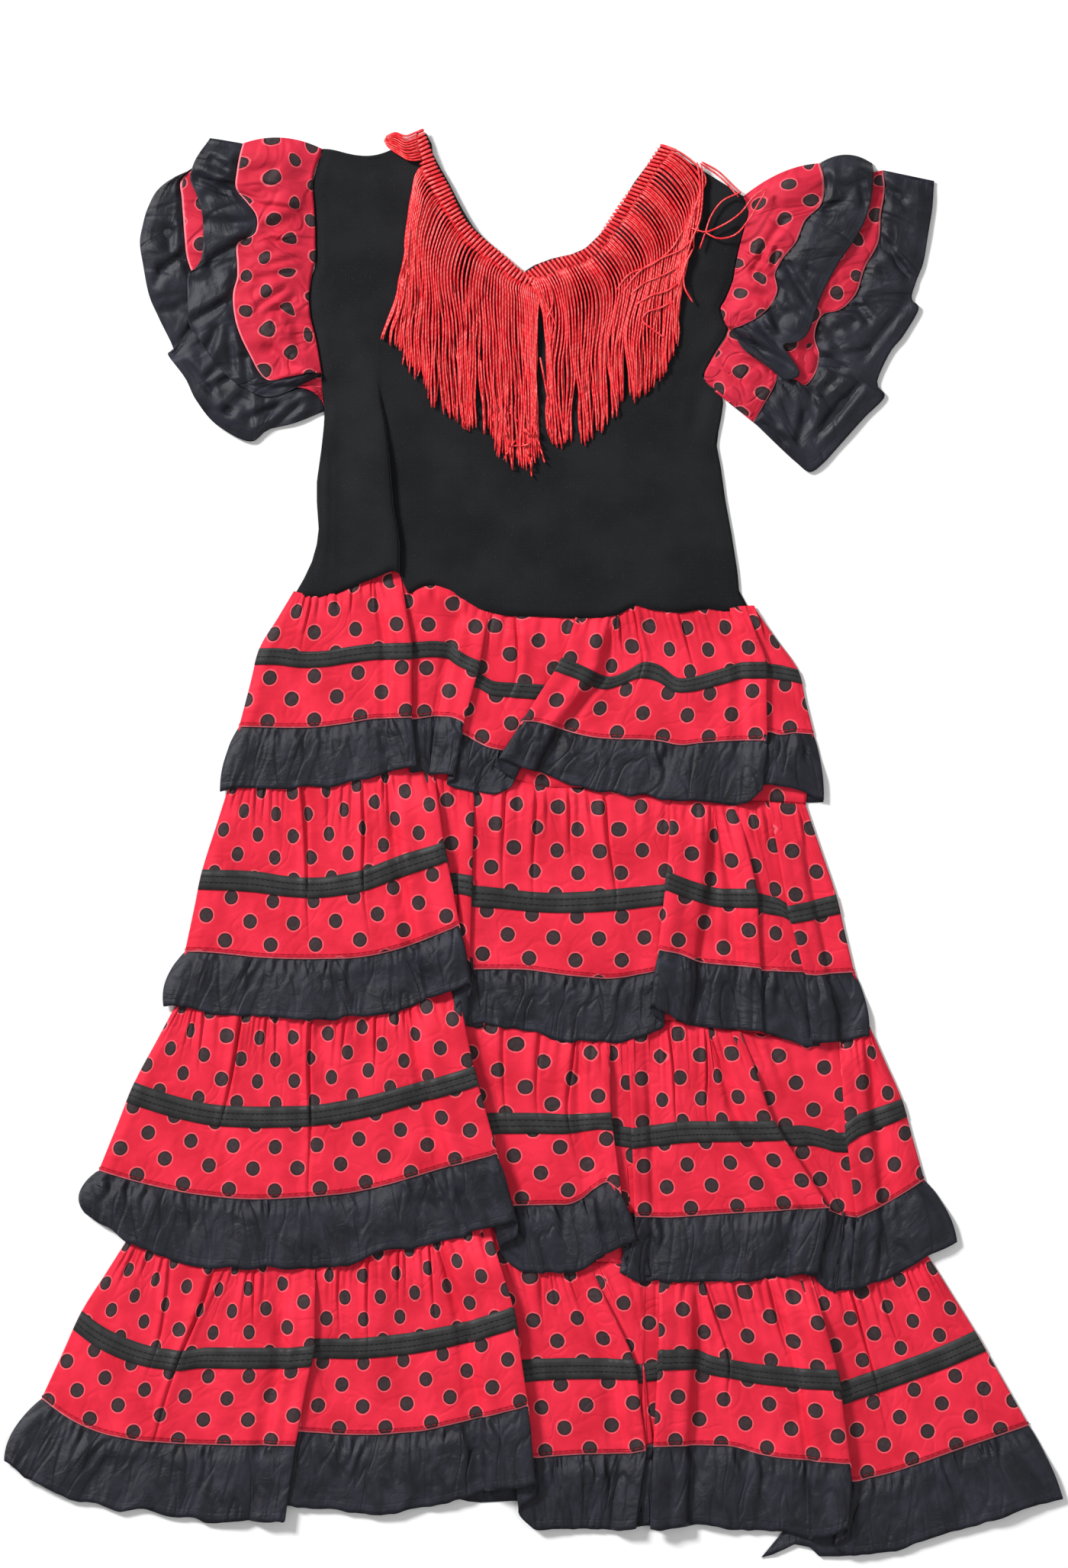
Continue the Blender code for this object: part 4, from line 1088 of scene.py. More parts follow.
def taffeta_finish():
    """Blue-black taffeta: a close plain weave with a satin gloss, crinkled, and a stitched narrow hem."""
    made, tree, shader = finish_of("black_taffeta", 0.4, Sheen_Weight=0.07, Sheen_Roughness=0.35,
                                   Specular_IOR_Level=0.26)
    _, v, pair = axes(tree, "cut")
    cloud = noise(tree, pair, 45.0, 5.0, 0.8)
    fine = sums(tree, "MULTIPLY", noise(tree, pair, 1100.0, 2.0), 0.2)
    shade = blended(tree, ramp(tree, cloud, 0.3, 0.75), (0.0045, 0.0047, 0.0085, 1),
                    (0.0175, 0.0180, 0.0290, 1))
    shade = blended(tree, fine, shade, (0.018, 0.020, 0.028, 1))
    tree.links.new(shade, shader.inputs["Base Color"])
    tree.links.new(ramp(tree, cloud, 0.25, 0.8, 0.38, 0.54), shader.inputs["Roughness"])
    weave = sums(tree, "ADD", waves(tree, pair, "X", 0.5 * MM), waves(tree, pair, "Y", 0.4 * MM))
    crushed = node(tree, "Mapping", {"Vector": pair, "Scale": (0.8, 1.0, 1.0)}).outputs[0]
    falls = node(tree, "Mapping", {"Vector": pair, "Scale": (1.0, 0.4, 1.0)}).outputs[0]
    under = None
    for height, distance, strength in (
        (weave, 0.06 * MM, 0.5),
        (noise(tree, crushed, 75.0, 4.0, 1.4), 2.2 * MM, 0.4),
        (noise(tree, falls, 26.0, 1.5, 0.5), 9.0 * MM, 0.45),
        (crease_lines(tree, falls, 40.0, 0.10), 1.3 * MM, 0.4),
        (sums(tree, "MULTIPLY", stitch_row(tree, v, 0.0055, 0.0003, 0.0009), -1.0), 0.3 * MM, 0.25),
    ):
        under = bumped(tree, shader, height, distance, strength, under)
    return made


def ribbon_finish():
    """Grey-black satin ribbon with fine cross ribs, and two rows of dark stitches."""
    made, tree, shader = finish_of("black_ribbon", 0.5, Sheen_Weight=0.05, Specular_IOR_Level=0.2)
    u, v, pair = axes(tree, "cut")
    cloud = ramp(tree, noise(tree, pair, 70.0, 4.0), 0.3, 0.7)
    shade = blended(tree, cloud, (0.017, 0.017, 0.018, 1), (0.033, 0.033, 0.033, 1))
    under = bumped(tree, shader, waves(tree, pair, "X", 0.8 * MM), 0.1 * MM, 0.5)
    rows = [stitch_row(tree, v, level * 0.013, 0.0003, 0.0006) for level in (0.36, 0.66)]
    rows = sums(tree, "MAXIMUM", *rows)
    stitches = sums(tree, "MULTIPLY", rows, dashes(tree, u, 0.0038, 0.72))
    shade = blended(tree, stitches, shade, (0.008, 0.008, 0.009, 1))
    tree.links.new(shade, shader.inputs["Base Color"])
    bumped(tree, shader, sums(tree, "MULTIPLY", rows, -1.0), 0.5 * MM, 0.8, under)
    return made


def strip_points(tier, following, columns=160):
    """The narrow strip of a tier that goes on behind its ruffle to the seam of the next tier."""
    g = np.linspace(0, 1, columns)
    w = np.linspace(0, 1, 7)[:, None]
    seam = np.concatenate([np.array(line, float) for line in tier["seams"]])
    seam = seam[np.argsort(seam[:, 0], kind="stable")]
    join = np.array(following["top"], float)
    seam_x = seam[0, 0] + (seam[-1, 0] - seam[0, 0]) * g
    join_x = join[0, 0] + (join[-1, 0] - join[0, 0]) * g
    seam_d = at_across(seam, seam_x) - 2
    join_d = at_across(join, join_x) + 3
    x = seam_x + (join_x - seam_x) * w
    d = seam_d + (join_d - seam_d) * w
    near = np.minimum(g, 1 - g) * (seam[-1, 0] - seam[0, 0])
    z = 1.6 + 0.1 * ripple(x / 12, d / 12, tier["seed"] + 300)
    z = 1.4 + (z - 1.4) * smooth(near / 9)
    length = (join_d - seam_d).mean() * MM
    cut = cut_of(x * MM, (1 - w) * length)
    return place(x, d, z), cut, cut + 0.01


def back_lines(tier, top_ends, sag, hem_more, following):
    """Lines of a back tier as (across, drop), from end to end of the front's lines.

    They are the top, the ribbon's two edges, the seam, the join with the next tier and the hem. With g
    from 0 to 1 along a line, it hangs by 4 g (1 - g) of its sag.
    """
    g = np.linspace(0, 1, 90)

    def hung(left, right, hang):
        """A line between two points, hanging in its middle."""
        return (left[0] + (right[0] - left[0]) * g,
                left[1] + (right[1] - left[1]) * g + hang * 4 * g * (1 - g))

    ribbon, seam, hem = (
        hung(tier[lines][0][0], tier[lines][-1][-1], hang)
        for lines, hang in (("ribbons", sag), ("seams", sag), ("hems", sag + hem_more))
    )
    join = hung(following["top"][0], following["top"][-1], 2.0) if following else (seam[0], seam[1] + 5)
    return hung(*top_ends, 2.0), ribbon, (ribbon[0], ribbon[1] + tier["ribbon"]), seam, join, hem


def filled(lines, counts, height):
    """Across, drop and height of a level grid through lines, with a count of rows between each two."""
    xs, ds = [], []
    for i, ((x0, d0), (x1, d1)) in enumerate(zip(lines, lines[1:])):
        for w in np.linspace(0, 1, counts[i] + 1)[(1 if i else 0):]:
            xs.append(x0 + (x1 - x0) * w)
            ds.append(d0 + (d1 - d0) * w)
    return np.array(xs), np.array(ds), np.full((len(xs), len(xs[0])), height)


DOTS = dotted_finish("dotted_weave", True)
TAFFETA = taffeta_finish()
RIBBON = ribbon_finish()
HEM_MORE = (0.0, 0.0, 0.0, 12.0)  # how much more each back hem hangs than its seam
UNDER_LAP = (
    # the hem of the cloth that runs back under the last tier's last lap
    (149, 937), (156, 935), (164, 931.5), (171, 928), (181, 930), (187, 936), (200, 936), (213, 935),
)


def lying_on(grids, side=3.0, left=360, size=(240, 320)):
    """A look-up of the height of a surface: the highest of its points in each small square.

    The squares start this far left of the centre and at the top of the strap.
    """
    points = np.concatenate([grid[0].reshape(-1, 3) for grid in grids]) * 1000
    found = np.zeros(size)
    columns = np.round((points[:, 0] + left) / side).astype(int)
    rows = np.round((MIDDLE_DROP - points[:, 1]) / side).astype(int)
    np.maximum.at(found, (columns, rows), points[:, 2])

    def height(across, drop):
        """Height at each place, between the four nearest squares."""
        a, b = (across + left) / side, np.clip(drop / side, 0, size[1] - 2)
        i, j = np.floor(a).astype(int), np.floor(b).astype(int)
        return between_four(found, i, j, i + 1, j + 1, a - i, b - j)
    return height


def under_lap():
    """The last ruffle's cloth where it runs back under its lap, from above the seam to its hem."""
    g = np.linspace(0, 1, 60)
    w = np.linspace(0, 1, 16)[:, None]
    hem_x, top_x, top_d = 149 + 64 * g, 196 + 16 * g, 880
    x = top_x + (hem_x - top_x) * w
    d = top_d + (at_across(UNDER_LAP, hem_x) - top_d) * w
    z = 1.3 + 0.9 * smooth(g / 0.15) + 0.5 * ripple(g * 5, w * 2, 77)
    z = 2.0 * (1 - w) + z * w
    return place(x, d, z), cut_of(x * RUFFLE_CUT, (1 - w) * 0.05)


def ribbon_cut(tier, u):
    """Cut of a ribbon of five rows: V is its width at its upper edge and 0 at its lower one."""
    return cut_of(u, np.linspace(tier["ribbon"], 0, 5)[:, None] * MM)


def make_front(tier, following, name):
    p = np.concatenate([np.linspace(0, 0.24, 10), np.linspace(0.24, 0.5, 9)[1:],
                        np.linspace(0.5, 1, 16)[1:]])
    panel = [panel_points(tier, p)]
    width, length = lengths(panel[0][0])
    if following:
        panel.append(strip_points(tier, following))
        length += lengths(panel[1][0])[1]
    front = cloth(f"{name}_panel_front_cloth", panel, DOTS, f"{name}_panel_front")

    low = 0.5 + 0.5 * tier["ribbon"] / tier["fall"]
    points, cut, _ = panel_points(tier, np.linspace(0.5, low, 5))
    satin = [(points + outward(points) * RIBBON_LIFT, ribbon_cut(tier, cut[..., 0]))]
    ribbon = cloth(f"{name}_ribbon_front_satin", satin, RIBBON, f"{name}_ribbon_front",
                   RIBBON_WALL)

    w = np.concatenate([[-0.05], np.linspace(0, 0.3, 8), np.linspace(0.3, 1, 13)[1:]])
    points, cut = ruffle_points(tier, w)
    if following:
        under = lying_on([panel_points(following, np.linspace(0, 0.4, 25))])
        height = points[..., 2] * 1000
        clear = under(points[..., 0] * 1000, MIDDLE_DROP - points[..., 1] * 1000) + CLEARANCE
        raised = height + np.clip(clear - height, 0, 2.4) * smooth((w[:, None] - 0.15) / 0.3)
        points[..., 2] = raised * MM
    parts = [(points, cut)] if following else [(points, cut), under_lap()]
    ruffle = cloth(f"{name}_ruffle_front_taffeta", parts, TAFFETA, f"{name}_ruffle_front")

    under = f"{name}_panel_back_cloth"


def make_back(tier, number, following, name):
    top_ends = (WAIST[0], WAIST[-1]) if number == 0 else (tier["top"][0], tier["top"][-1])
    top, ribbon, below, seam, join, hem = back_lines(tier, top_ends, 4.0, HEM_MORE[number], following)
    x, d, z = filled([top, ribbon, below, seam, join], (10, 3, 8, 4), BACK_PANEL)
    points = place(x, d, z + 0.15 * ripple(x / 20, d / 24, number + 70))
    back = cloth(f"{name}_panel_back_cloth", [(points, points[..., :2] + 0.7)], DOTS,
                 f"{name}_panel_back")
    satin = place(*filled([ribbon, below], (4,), BACK_RIBBON))
    ribbon = cloth(f"{name}_ribbon_back_satin", [(satin, ribbon_cut(tier, satin[..., 0]))], RIBBON,
                   f"{name}_ribbon_back", RIBBON_WALL)

    x, d, z = filled([seam, hem], (10,), BACK_RUFFLE)
    fall = (d - d[:1]) / (d[-1:] - d[:1])
    d = d + 1.3 * ripple(x / 13, 0 * x, number + 90) * fall ** 3
    points = place(x, d, z + 0.1 * ripple(x / 9, fall * 2, number + 95))
    cut = cut_of(x * RUFFLE_CUT, (1 - fall) * BACK_RUFFLE_LONG)
    ruffle = cloth(f"{name}_ruffle_back_taffeta", [(points, cut)], TAFFETA,
                   f"{name}_ruffle_back")


for tier_number, this_tier in enumerate(TIERS):
    next_tier = TIERS[tier_number + 1] if tier_number + 1 < len(TIERS) else None
    make_front(this_tier, next_tier, f"tier_{tier_number + 1}")
    make_back(this_tier, tier_number, next_tier, f"tier_{tier_number + 1}")

# ---------------------------------------------------------------- The sleeves
# Two gathered flounces of the dotted cloth on each armhole, the upper over the lower, each edged with a
# wide trim of black taffeta sewn on behind the flounce's folded edge.
LEFT_UPPER = dict(
    # Lines run from the shoulder round to the underarm. Bow is how far the flounce's and the trim's upper
    # edges arch up between their ends, and a crease is as on the bodice.
    armhole=(
        (-139, 13), (-142, 20), (-144.5, 28.5), (-145.5, 37.5), (-144.5, 47), (-144, 56), (-143.5, 65),
        (-143.5, 75), (-143.5, 86), (-146.5, 97.5), (-147.5, 108.5), (-147, 121), (-144.5, 132),
        (-142, 143.5), (-140, 156), (-139, 161),
    ),
    seam=(
        (-191, 9.5), (-192.5, 16), (-194.5, 27), (-195, 40), (-188.5, 48), (-181.5, 59), (-182.5, 68),
        (-194.5, 76), (-194.5, 88.5), (-194.5, 97.5), (-197, 107), (-196, 124), (-187, 147), (-174, 165),
        (-160, 163), (-140, 158),
    ),
    edge=(
        (-212.5, 5.8), (-218, 14), (-223, 23), (-225, 34), (-221, 44), (-217, 60), (-217, 80), (-222, 92),
        (-227, 97), (-227, 110), (-226.5, 126), (-219, 139), (-207.5, 155), (-192.5, 168.5), (-175, 176),
        (-139.5, 162),
    ),
    bow=(5.5, 0.0),
    creases=(
        (-196, 40.6, -178, 50, 2.2, 1.5, 0.9), (-180, 49.5, -145, 53.8, 2.0, 1.6, 1.2),
        (-183, 67, -146, 53, 4.5, 1.6, 1.6), (-174, 71.5, -145.7, 78.6, 2.2, 1.8, 1.2),
        (-182, 97.3, -149, 91, 2.4, 1.8, 1.3), (-178, 90.1, -148.6, 82, 2.2, 1.0, 0.9),
        (-183, 117.4, -160, 101, 2.6, 1.5, 1.2), (-176, 121, -150, 106, 2.2, 1.3, 0.9),
        (-169, 116, -146, 129, 2.4, 1.8, 1.4), (-158, 108, -152, 150, 3.0, 2.0, 1.5),
        (-152, 122, -143, 150, 3.0, 1.4, 1.2), (-166, 32, -144, 40, 2.4, 0.9, 0.8),
        (-168, 10, -143, 24, 2.4, 1.2, 1.0), (-192, 84, -168, 80, 3.0, 0.9, 0.7),
        (-190, 30, -168, 24, 3.2, 0.8, 0.7), (-176, 142, -152, 158, 3.2, 1.3, 1.1),
        (-222, 30, -196, 41, 3.4, 2.4, 1.8), (-218, 44, -200, 37, 3.2, 1.4, 1.2),
        (-217, 60, -184, 61.5, 2.6, 1.6, 1.2), (-216, 90, -182, 68, 4.5, 2.0, 3.0),
        (-214, 86, -197, 82, 7.0, 2.2, 0.0), (-226, 126, -196, 108.5, 2.6, 1.6, 1.8),
        (-226, 100, -204, 98, 4.0, 1.2, 0.8), (-223, 132, -221, 162, 2.6, 2.4, 1.4),
        (-207, 130, -216, 154, 3.0, 2.4, 1.8), (-199, 128, -196, 164, 3.0, 1.6, 1.4),
        (-189, 148, -186, 174, 2.6, 1.5, 1.2), (-212, 18, -198, 26, 2.6, 1.0, 1.0),
        (-216, 8, -196, 12, 2.6, 1.2, 1.0), (-180, 170, -150, 168, 2.6, 1.3, 1.2),
    ),
)
LEFT_LOWER = dict(
    armhole=(
        (-139, 16), (-142, 22), (-144.5, 31), (-145, 40), (-144.5, 50), (-144, 61), (-143.5, 72),
        (-143.5, 83.5), (-145.5, 95), (-147.5, 107), (-147.5, 118.5), (-145.5, 130), (-143, 142),
        (-141, 153.5), (-139.5, 165), (-139, 170), (-138.5, 176), (-138, 182),
    ),
    seam=(
        (-221, 24), (-226, 28), (-231.5, 34), (-231, 45), (-230, 58.5), (-229, 72), (-227.5, 85),
        (-224, 95), (-219, 108.5), (-215, 121), (-210, 133.5), (-204, 145), (-196, 157), (-185, 166),
        (-172.5, 168), (-161, 168.5), (-151, 168.5), (-139.5, 169),
    ),
    edge=(
        (-223, 27), (-235.5, 31.5), (-246, 39), (-253, 51), (-257, 64.5), (-258.5, 75), (-256.5, 88.5),
        (-253, 107), (-246, 124), (-236.5, 144), (-240, 148), (-229, 163), (-221.5, 178), (-207.5, 194.5),
        (-186, 205), (-174, 197), (-157.5, 193), (-137.5, 185),
    ),
    bow=(0.0, 0.0),
    creases=(
        (-246, 92, -228, 80, 3.0, 2.0, 1.8), (-250, 103, -245, 90, 2.6, 1.8, 1.4),
        (-237, 62, -238, 82, 3.0, 1.3, 1.2), (-246, 120, -232, 116, 3.0, 1.2, 1.0),
        (-240, 148, -222, 126, 3.0, 2.0, 1.8), (-214, 170, -196, 160, 2.6, 1.6, 1.4),
        (-190, 190, -165, 180, 3.0, 1.8, 1.6), (-204, 186, -190, 172, 3.0, 1.6, 1.4),
        (-228, 152, -208, 176, 2.6, 1.3, 1.2), (-175, 197, -152, 178, 2.6, 1.5, 1.5),
        (-204, 182, -196, 186, 2.4, 1.8, 1.4), (-216, 164, -206, 152, 2.6, 1.5, 1.2),
        (-188, 176, -186, 200, 3.0, 1.3, 1.2), (-252, 70, -240, 66, 3.0, 0.9, 0.8),
    ),
)
RIGHT_UPPER = dict(
    armhole=(
        (137.5, 44), (140, 48), (141, 54.5), (139, 62), (136.5, 71), (134, 81), (132, 91), (130.5, 100),
        (127, 109), (124, 115), (122.5, 118), (123.5, 123), (125, 126.5), (125.5, 127.5), (126, 128.5),
        (127, 130),
    ),
    seam=(
        (187.5, 22.5), (190, 33.5), (188, 50), (178, 60), (172, 74), (162, 87), (158, 95), (159.5, 106),
        (155, 116), (144, 125.5), (138, 128.5), (134.5, 130), (132.5, 130.5), (131, 131), (130, 131.5),
        (129, 132),
    ),
    edge=(
        (222, 22.5), (222.5, 31), (220.5, 48.5), (216, 62.5), (207.5, 77), (198.5, 90), (190, 106),
        (185, 119), (181, 131), (172.5, 140), (163, 143), (168, 150), (174, 162), (167, 165), (154, 157),
        (137, 144),
    ),
    bow=(4.7, 5.6),
    creases=(
        (154, 78, 142, 96, 2.4, 1.6, 1.3), (166, 60, 148, 82, 2.6, 1.3, 1.1),
        (159, 78, 157, 92, 1.8, 1.8, 1.2), (137, 90, 152, 96, 2.6, 1.8, 1.4),
        (148, 80, 152, 92, 2.0, 1.3, 1.0), (140, 82, 158, 100, 2.4, 1.2, 1.0),
        (150, 46, 142, 62, 3.0, 0.9, 0.9), (132, 104, 156, 110, 3.0, 1.2, 1.0),
        (189, 53, 206, 45, 2.2, 1.7, 1.4), (192, 36, 212, 38, 4.0, 0.9, 0.9),
        (194, 30, 190, 48, 2.6, 1.4, 1.2), (165, 86, 185, 121, 2.2, 2.2, 1.9),
        (178, 90, 184, 97, 2.0, 1.6, 1.2), (172, 92, 196, 96, 4.0, 0.8, 0.8),
        (155, 112, 160, 138, 3.0, 2.0, -1.8), (130, 132, 156, 148, 2.6, 2.4, 2.2),
        (136, 136, 170, 155, 2.8, 1.8, 1.8), (148, 127, 163, 143, 2.4, 2.0, 1.8),
        (156, 122, 178, 118, 3.0, 1.2, 1.0), (214, 30, 218, 52, 2.6, 1.4, 1.2),
    ),
)
RIGHT_LOWER = dict(
    armhole=(
        (137.5, 45), (140.5, 51), (140, 60), (137.5, 69), (134.5, 80), (132, 91), (130, 101), (126, 111),
        (122.5, 118), (125, 125), (127.5, 131), (126, 136.5), (122.5, 142), (119, 147), (115.5, 153),
        (112, 160), (112.5, 165), (118.5, 172),
    ),
    seam=(
        (229, 27), (230, 38.5), (227.5, 56), (226, 73.5), (217, 91), (210, 110), (200, 119), (190, 121.5),
        (184, 136), (187, 148), (184, 161), (178, 168), (168, 161), (161, 157.5), (159, 165), (155, 173.5),
        (150, 182), (144, 192.5),
    ),
    edge=(
        (262.5, 34), (261.5, 49.5), (258.5, 69), (255.5, 87), (250.5, 100.5), (248, 112), (252, 119),
        (243, 134.5), (233, 147.5), (225, 166), (229.5, 176.5), (217.5, 188.5), (200, 208), (190, 219),
        (181.5, 225), (172.5, 219), (162.5, 210), (146, 194),
    ),
    bow=(0.0, 0.0),
    creases=(
        (131, 133, 164, 160, 3.4, 2.0, 1.6), (134, 128, 170, 150, 3.0, 1.6, 1.3),
        (146, 141, 172, 172, 3.0, 1.6, 1.4), (227, 69, 249, 100, 2.2, 1.8, 1.5),
        (211, 114, 222, 128, 2.4, 1.8, 1.5), (248, 112, 215, 153, 3.0, 2.0, 2.0),
        (215, 168, 183, 206, 2.6, 2.4, 2.2), (184, 150, 206, 156, 3.0, 1.8, 1.5),
        (172, 206, 178, 182, 3.0, 1.6, 1.4), (190, 120, 204, 150, 4.0, 1.0, 1.0),
        (232, 60, 258, 62, 4.0, 0.8, 0.8), (190, 150, 222, 144, 3.0, 1.6, 1.4),
        (116, 150, 140, 168, 2.4, 1.6, 1.3), (122, 144, 150, 156, 2.4, 1.5, 1.2),
        (150, 192, 168, 206, 3.0, 1.4, 1.3), (205, 178, 190, 200, 4.0, 1.2, 1.2),
        (182, 138, 181, 164, 7.0, 2.4, 0.0), (200, 164, 186, 176, 2.6, 1.6, 1.6),
        (228, 36, 246, 46, 3.0, 1.2, 1.2), (112, 160, 132, 184, 2.4, 1.2, 1.0),
        (152, 178, 162, 196, 2.8, 1.5, 1.3), (184, 170, 181, 196, 2.8, 1.5, 1.4),
        (236, 76, 214, 92, 3.4, 1.0, 1.0), (212, 128, 196, 134, 3.0, 1.3, 1.2),
    ),
)


def squeezed(across, drop, table):
    """Extra print at each crease, where cloth is tucked in: a smooth step square to it that dies away."""
    shift = np.zeros(np.broadcast(across, drop).shape + (2,))
    for q, hold, direction, depth, _ in near_creases(across, drop, table):
        jump = 2.4 * min(depth, 1.8) * (smooth(0.5 * q + 0.5) - 0.5) * np.exp(-(q / 8) ** 2)
        shift += (jump * hold)[..., None] * direction
    return shift * MM


def make_band(name, points, cut, shown, trim, replaced, left):
    if left:
        points, cut, shown = points[:, ::-1], cut[:, ::-1], shown[:, ::-1]
    finish, slot = (TAFFETA, "black_taffeta") if trim else (SHADED_GATHERED_DOTS, "dotted_cloth")
    made = cloth(name, [(points, cut, shown)], finish, replaced)


def make_sleeve(side, tables):
    """Both flounces and trims of a sleeve, front and back.

    w runs from the armhole to the seam, and from the seam to the edge on the trim. A flounce's height
    rises from the armhole, swells between and comes down to the seam, with folds along it.
    """
    left = side == "left"
    below = None
    for lines, (level, base, low, arm_height, back_height) in zip(tables, FLOUNCES):
        upper = level == "upper"
        seed = 450 + 3 * upper + left * 50
        given = np.stack([np.array(lines[key], float) for key in ("armhole", "seam", "edge")], axis=1)
        step = np.linalg.norm(np.diff(given, axis=0), axis=2)
        knots = running(np.maximum(step[:, 1], 0.4 * step[:, 2]))
        along = np.linspace(0, knots[-1], int(knots[-1] / 1.7))
        arm, seam, edge = np.moveaxis(spline(knots, given, along)[:, :, None], 1, 0)
        row = along[:, None]
        ends = 0.12 + 0.88 * smooth(np.minimum(row, along[-1] - row) / 9)
        name = f"sleeve_{side}_{level}"

        def between(inner, outer, w, bow):
            """Across and drop between two lines, arched up by the bow at the shoulder."""
            spread = inner + (outer - inner) * w[:, None]
            return spread[..., 0], spread[..., 1] - bow * 4 * w * (1 - w) * np.exp(-row / 12)

        def laid(x, d, z):
            """Points no lower than a set height, or on the upper level clear of the lower one."""
            return place(x, d, np.maximum(z, below(x, d) + 0.7 if upper else 0.9))

        w = np.linspace(0, 1, 30)
        x, d = between(arm, seam, w, lines["bow"][0])
        puff = np.sin(np.pi * w) ** 0.7
        folds = 1.1 * ripple(row / 9, w * 1.2, seed) + 0.6 * ripple(row / 4.5, w * 2.2, seed + 1) * (1 - w)
        z = base + 1.5 * puff + folds * (0.25 + 0.75 * puff) + 0.1 * ripple(x / 5, d / 5, seed + 2)
        z += 1.6 * creased(x, d, lines["creases"]) * (0.4 + 0.6 * puff)
        z = arm_height + (z - arm_height) * smooth(w / 0.5 + 0.03)
        points = laid(x, d, low + (z - low) * ends)
        depth = (1 - w) * np.linalg.norm(seam - arm, axis=-1).mean()
        shown = points[..., :2] * (1.0, 1.14) + squeezed(x, d, lines["creases"]) + 0.02
        shown += 0.0045 * cut_of(*(ripple(x / 28 + 3 * k, d / 28, seed + 7 + k) for k in (0, 1)))
        make_band(f"{name}_flounce_front_cloth", points, cut_of(row, depth) * MM, shown, False,
                  f"{name}_flounce_front", left)
        flounce = points

        w = np.linspace(0, 1, 26)
        x, d = between(seam, edge, w, lines["bow"][1])
        z = base + 0.28 * ripple(row / 9, 1.2 + 0 * w, seed) * (1 - w) - 0.8 + 2.2 * smooth(w / 0.2)
        z += 0.65 * puckered(along, w[:, None], seed + 3).T
        z += 1.3 * ripple(row / 15, w * 1.2 + 4, seed + 4) * smooth(w / 0.3)
        z += 0.6 * ripple(row / 7, w * 3 + 4, seed + 5) * smooth(w / 0.3)
        z += 1.3 * creased(x, d, lines["creases"]) * (0.3 + 0.7 * smooth(w / 0.12))
        z = low + (z - low) * ends
        near = smooth((1 - w) / 0.3)
        points = laid(x, d, z - 1.6 * (1 - near) if upper else 1.6 + (z - 1.6) * (0.25 + 0.75 * near))
        below = lying_on([(flounce,), (points,)])
        cut = cut_of(row, (1 - w) * np.linalg.norm(edge - seam, axis=-1)) * MM
        make_band(f"{name}_trim_front_taffeta", points, cut, cut, True, f"{name}_trim_front", left)

        w = np.linspace(0, 1, 10)
        ends_at = np.linspace(0, knots[-1], 60)
        arm, seam, edge = np.moveaxis(spline(knots, given, ends_at)[:, :, None], 1, 0)
        for part, inner, outer in (("flounce", arm, seam), ("trim", seam, edge)):
            x, d = np.moveaxis(inner + (outer - inner) * w[:, None], -1, 0)
            points = place(x, d, back_height - 0.05 + 0.2 * ripple(x / 12, d / 12, seed + 8))
            depth = (1 - w) * np.linalg.norm(outer - inner, axis=-1) * MM
            kind = "cloth" if part == "flounce" else "taffeta"
            make_band(f"{name}_{part}_back_{kind}", points, cut_of(points[..., 1], depth),
                      points[..., :2] + 0.9, part == "trim", f"{name}_{part}_back", left)


FLOUNCES = (
    # level, then the heights of the swell's foot, the lowest ends, the armhole and the back
    ("lower", 3.4, 1.5, 1.9, 1.9), ("upper", 7.2, 2.2, 3.2, 0.75),
)
# The sleeves' dotted cloth, its red darkened as painted shade.
SHADED_GATHERED_DOTS = dotted_finish("dotted_weave_gathered_shaded", False)
make_sleeve("left", (LEFT_LOWER, LEFT_UPPER))
make_sleeve("right", (RIGHT_LOWER, RIGHT_UPPER))

# ---------------------------------------------------------------- The fringe
# Glossy red rayon cords about 120 mm long. They leave the neckline side by side as ribs 9 mm long, go
# over the left strap and end at the right shoulder. A few have come loose.
FRINGE_LEFT = (
    # the neckline, the end of the ribs, then where a cord turns down, hangs and ends
    ((-65, 21.5), (-75, 25), (-80, 43), (-85, 85), (-99.5, 137)),
    ((-64.5, 23), (-74.5, 27), (-79.5, 46), (-84.5, 93), (-90, 141)),
    ((-60, 31), (-71, 35), (-76.5, 54), (-81, 100), (-84, 154)),
    ((-55, 40), (-65, 45), (-72, 61), (-74, 107), (-76, 162)),
    ((-50, 51), (-58, 56), (-65, 72), (-67, 116), (-65.5, 179)),
    ((-45, 60), (-52, 65), (-58.5, 80), (-58.5, 124), (-55, 187)),
    ((-38, 68), (-45, 75), (-50, 88), (-48, 132), (-44.5, 195)),
    ((-29, 75.5), (-36, 82.5), (-39.5, 94), (-39.5, 132), (-41, 194)),
    ((-22.5, 80.5), (-29, 87), (-32, 99), (-30, 139), (-29.5, 199)),
    ((-16, 86), (-22.5, 92.5), (-24, 105), (-22.5, 147), (-22.5, 215)),
    ((-10, 91.5), (-16, 99), (-16, 110), (-14.5, 155), (-13, 217)),
    ((-4.5, 95), (-9, 102), (-8.5, 113), (-6, 155), (-4, 220)),
    ((-0.5, 97.5), (-3.5, 104.5), (-2, 116), (0, 156), (4.5, 215)),
    ((2, 100.5), (3, 107), (3.5, 118), (2.5, 157), (3.5, 206)),
)
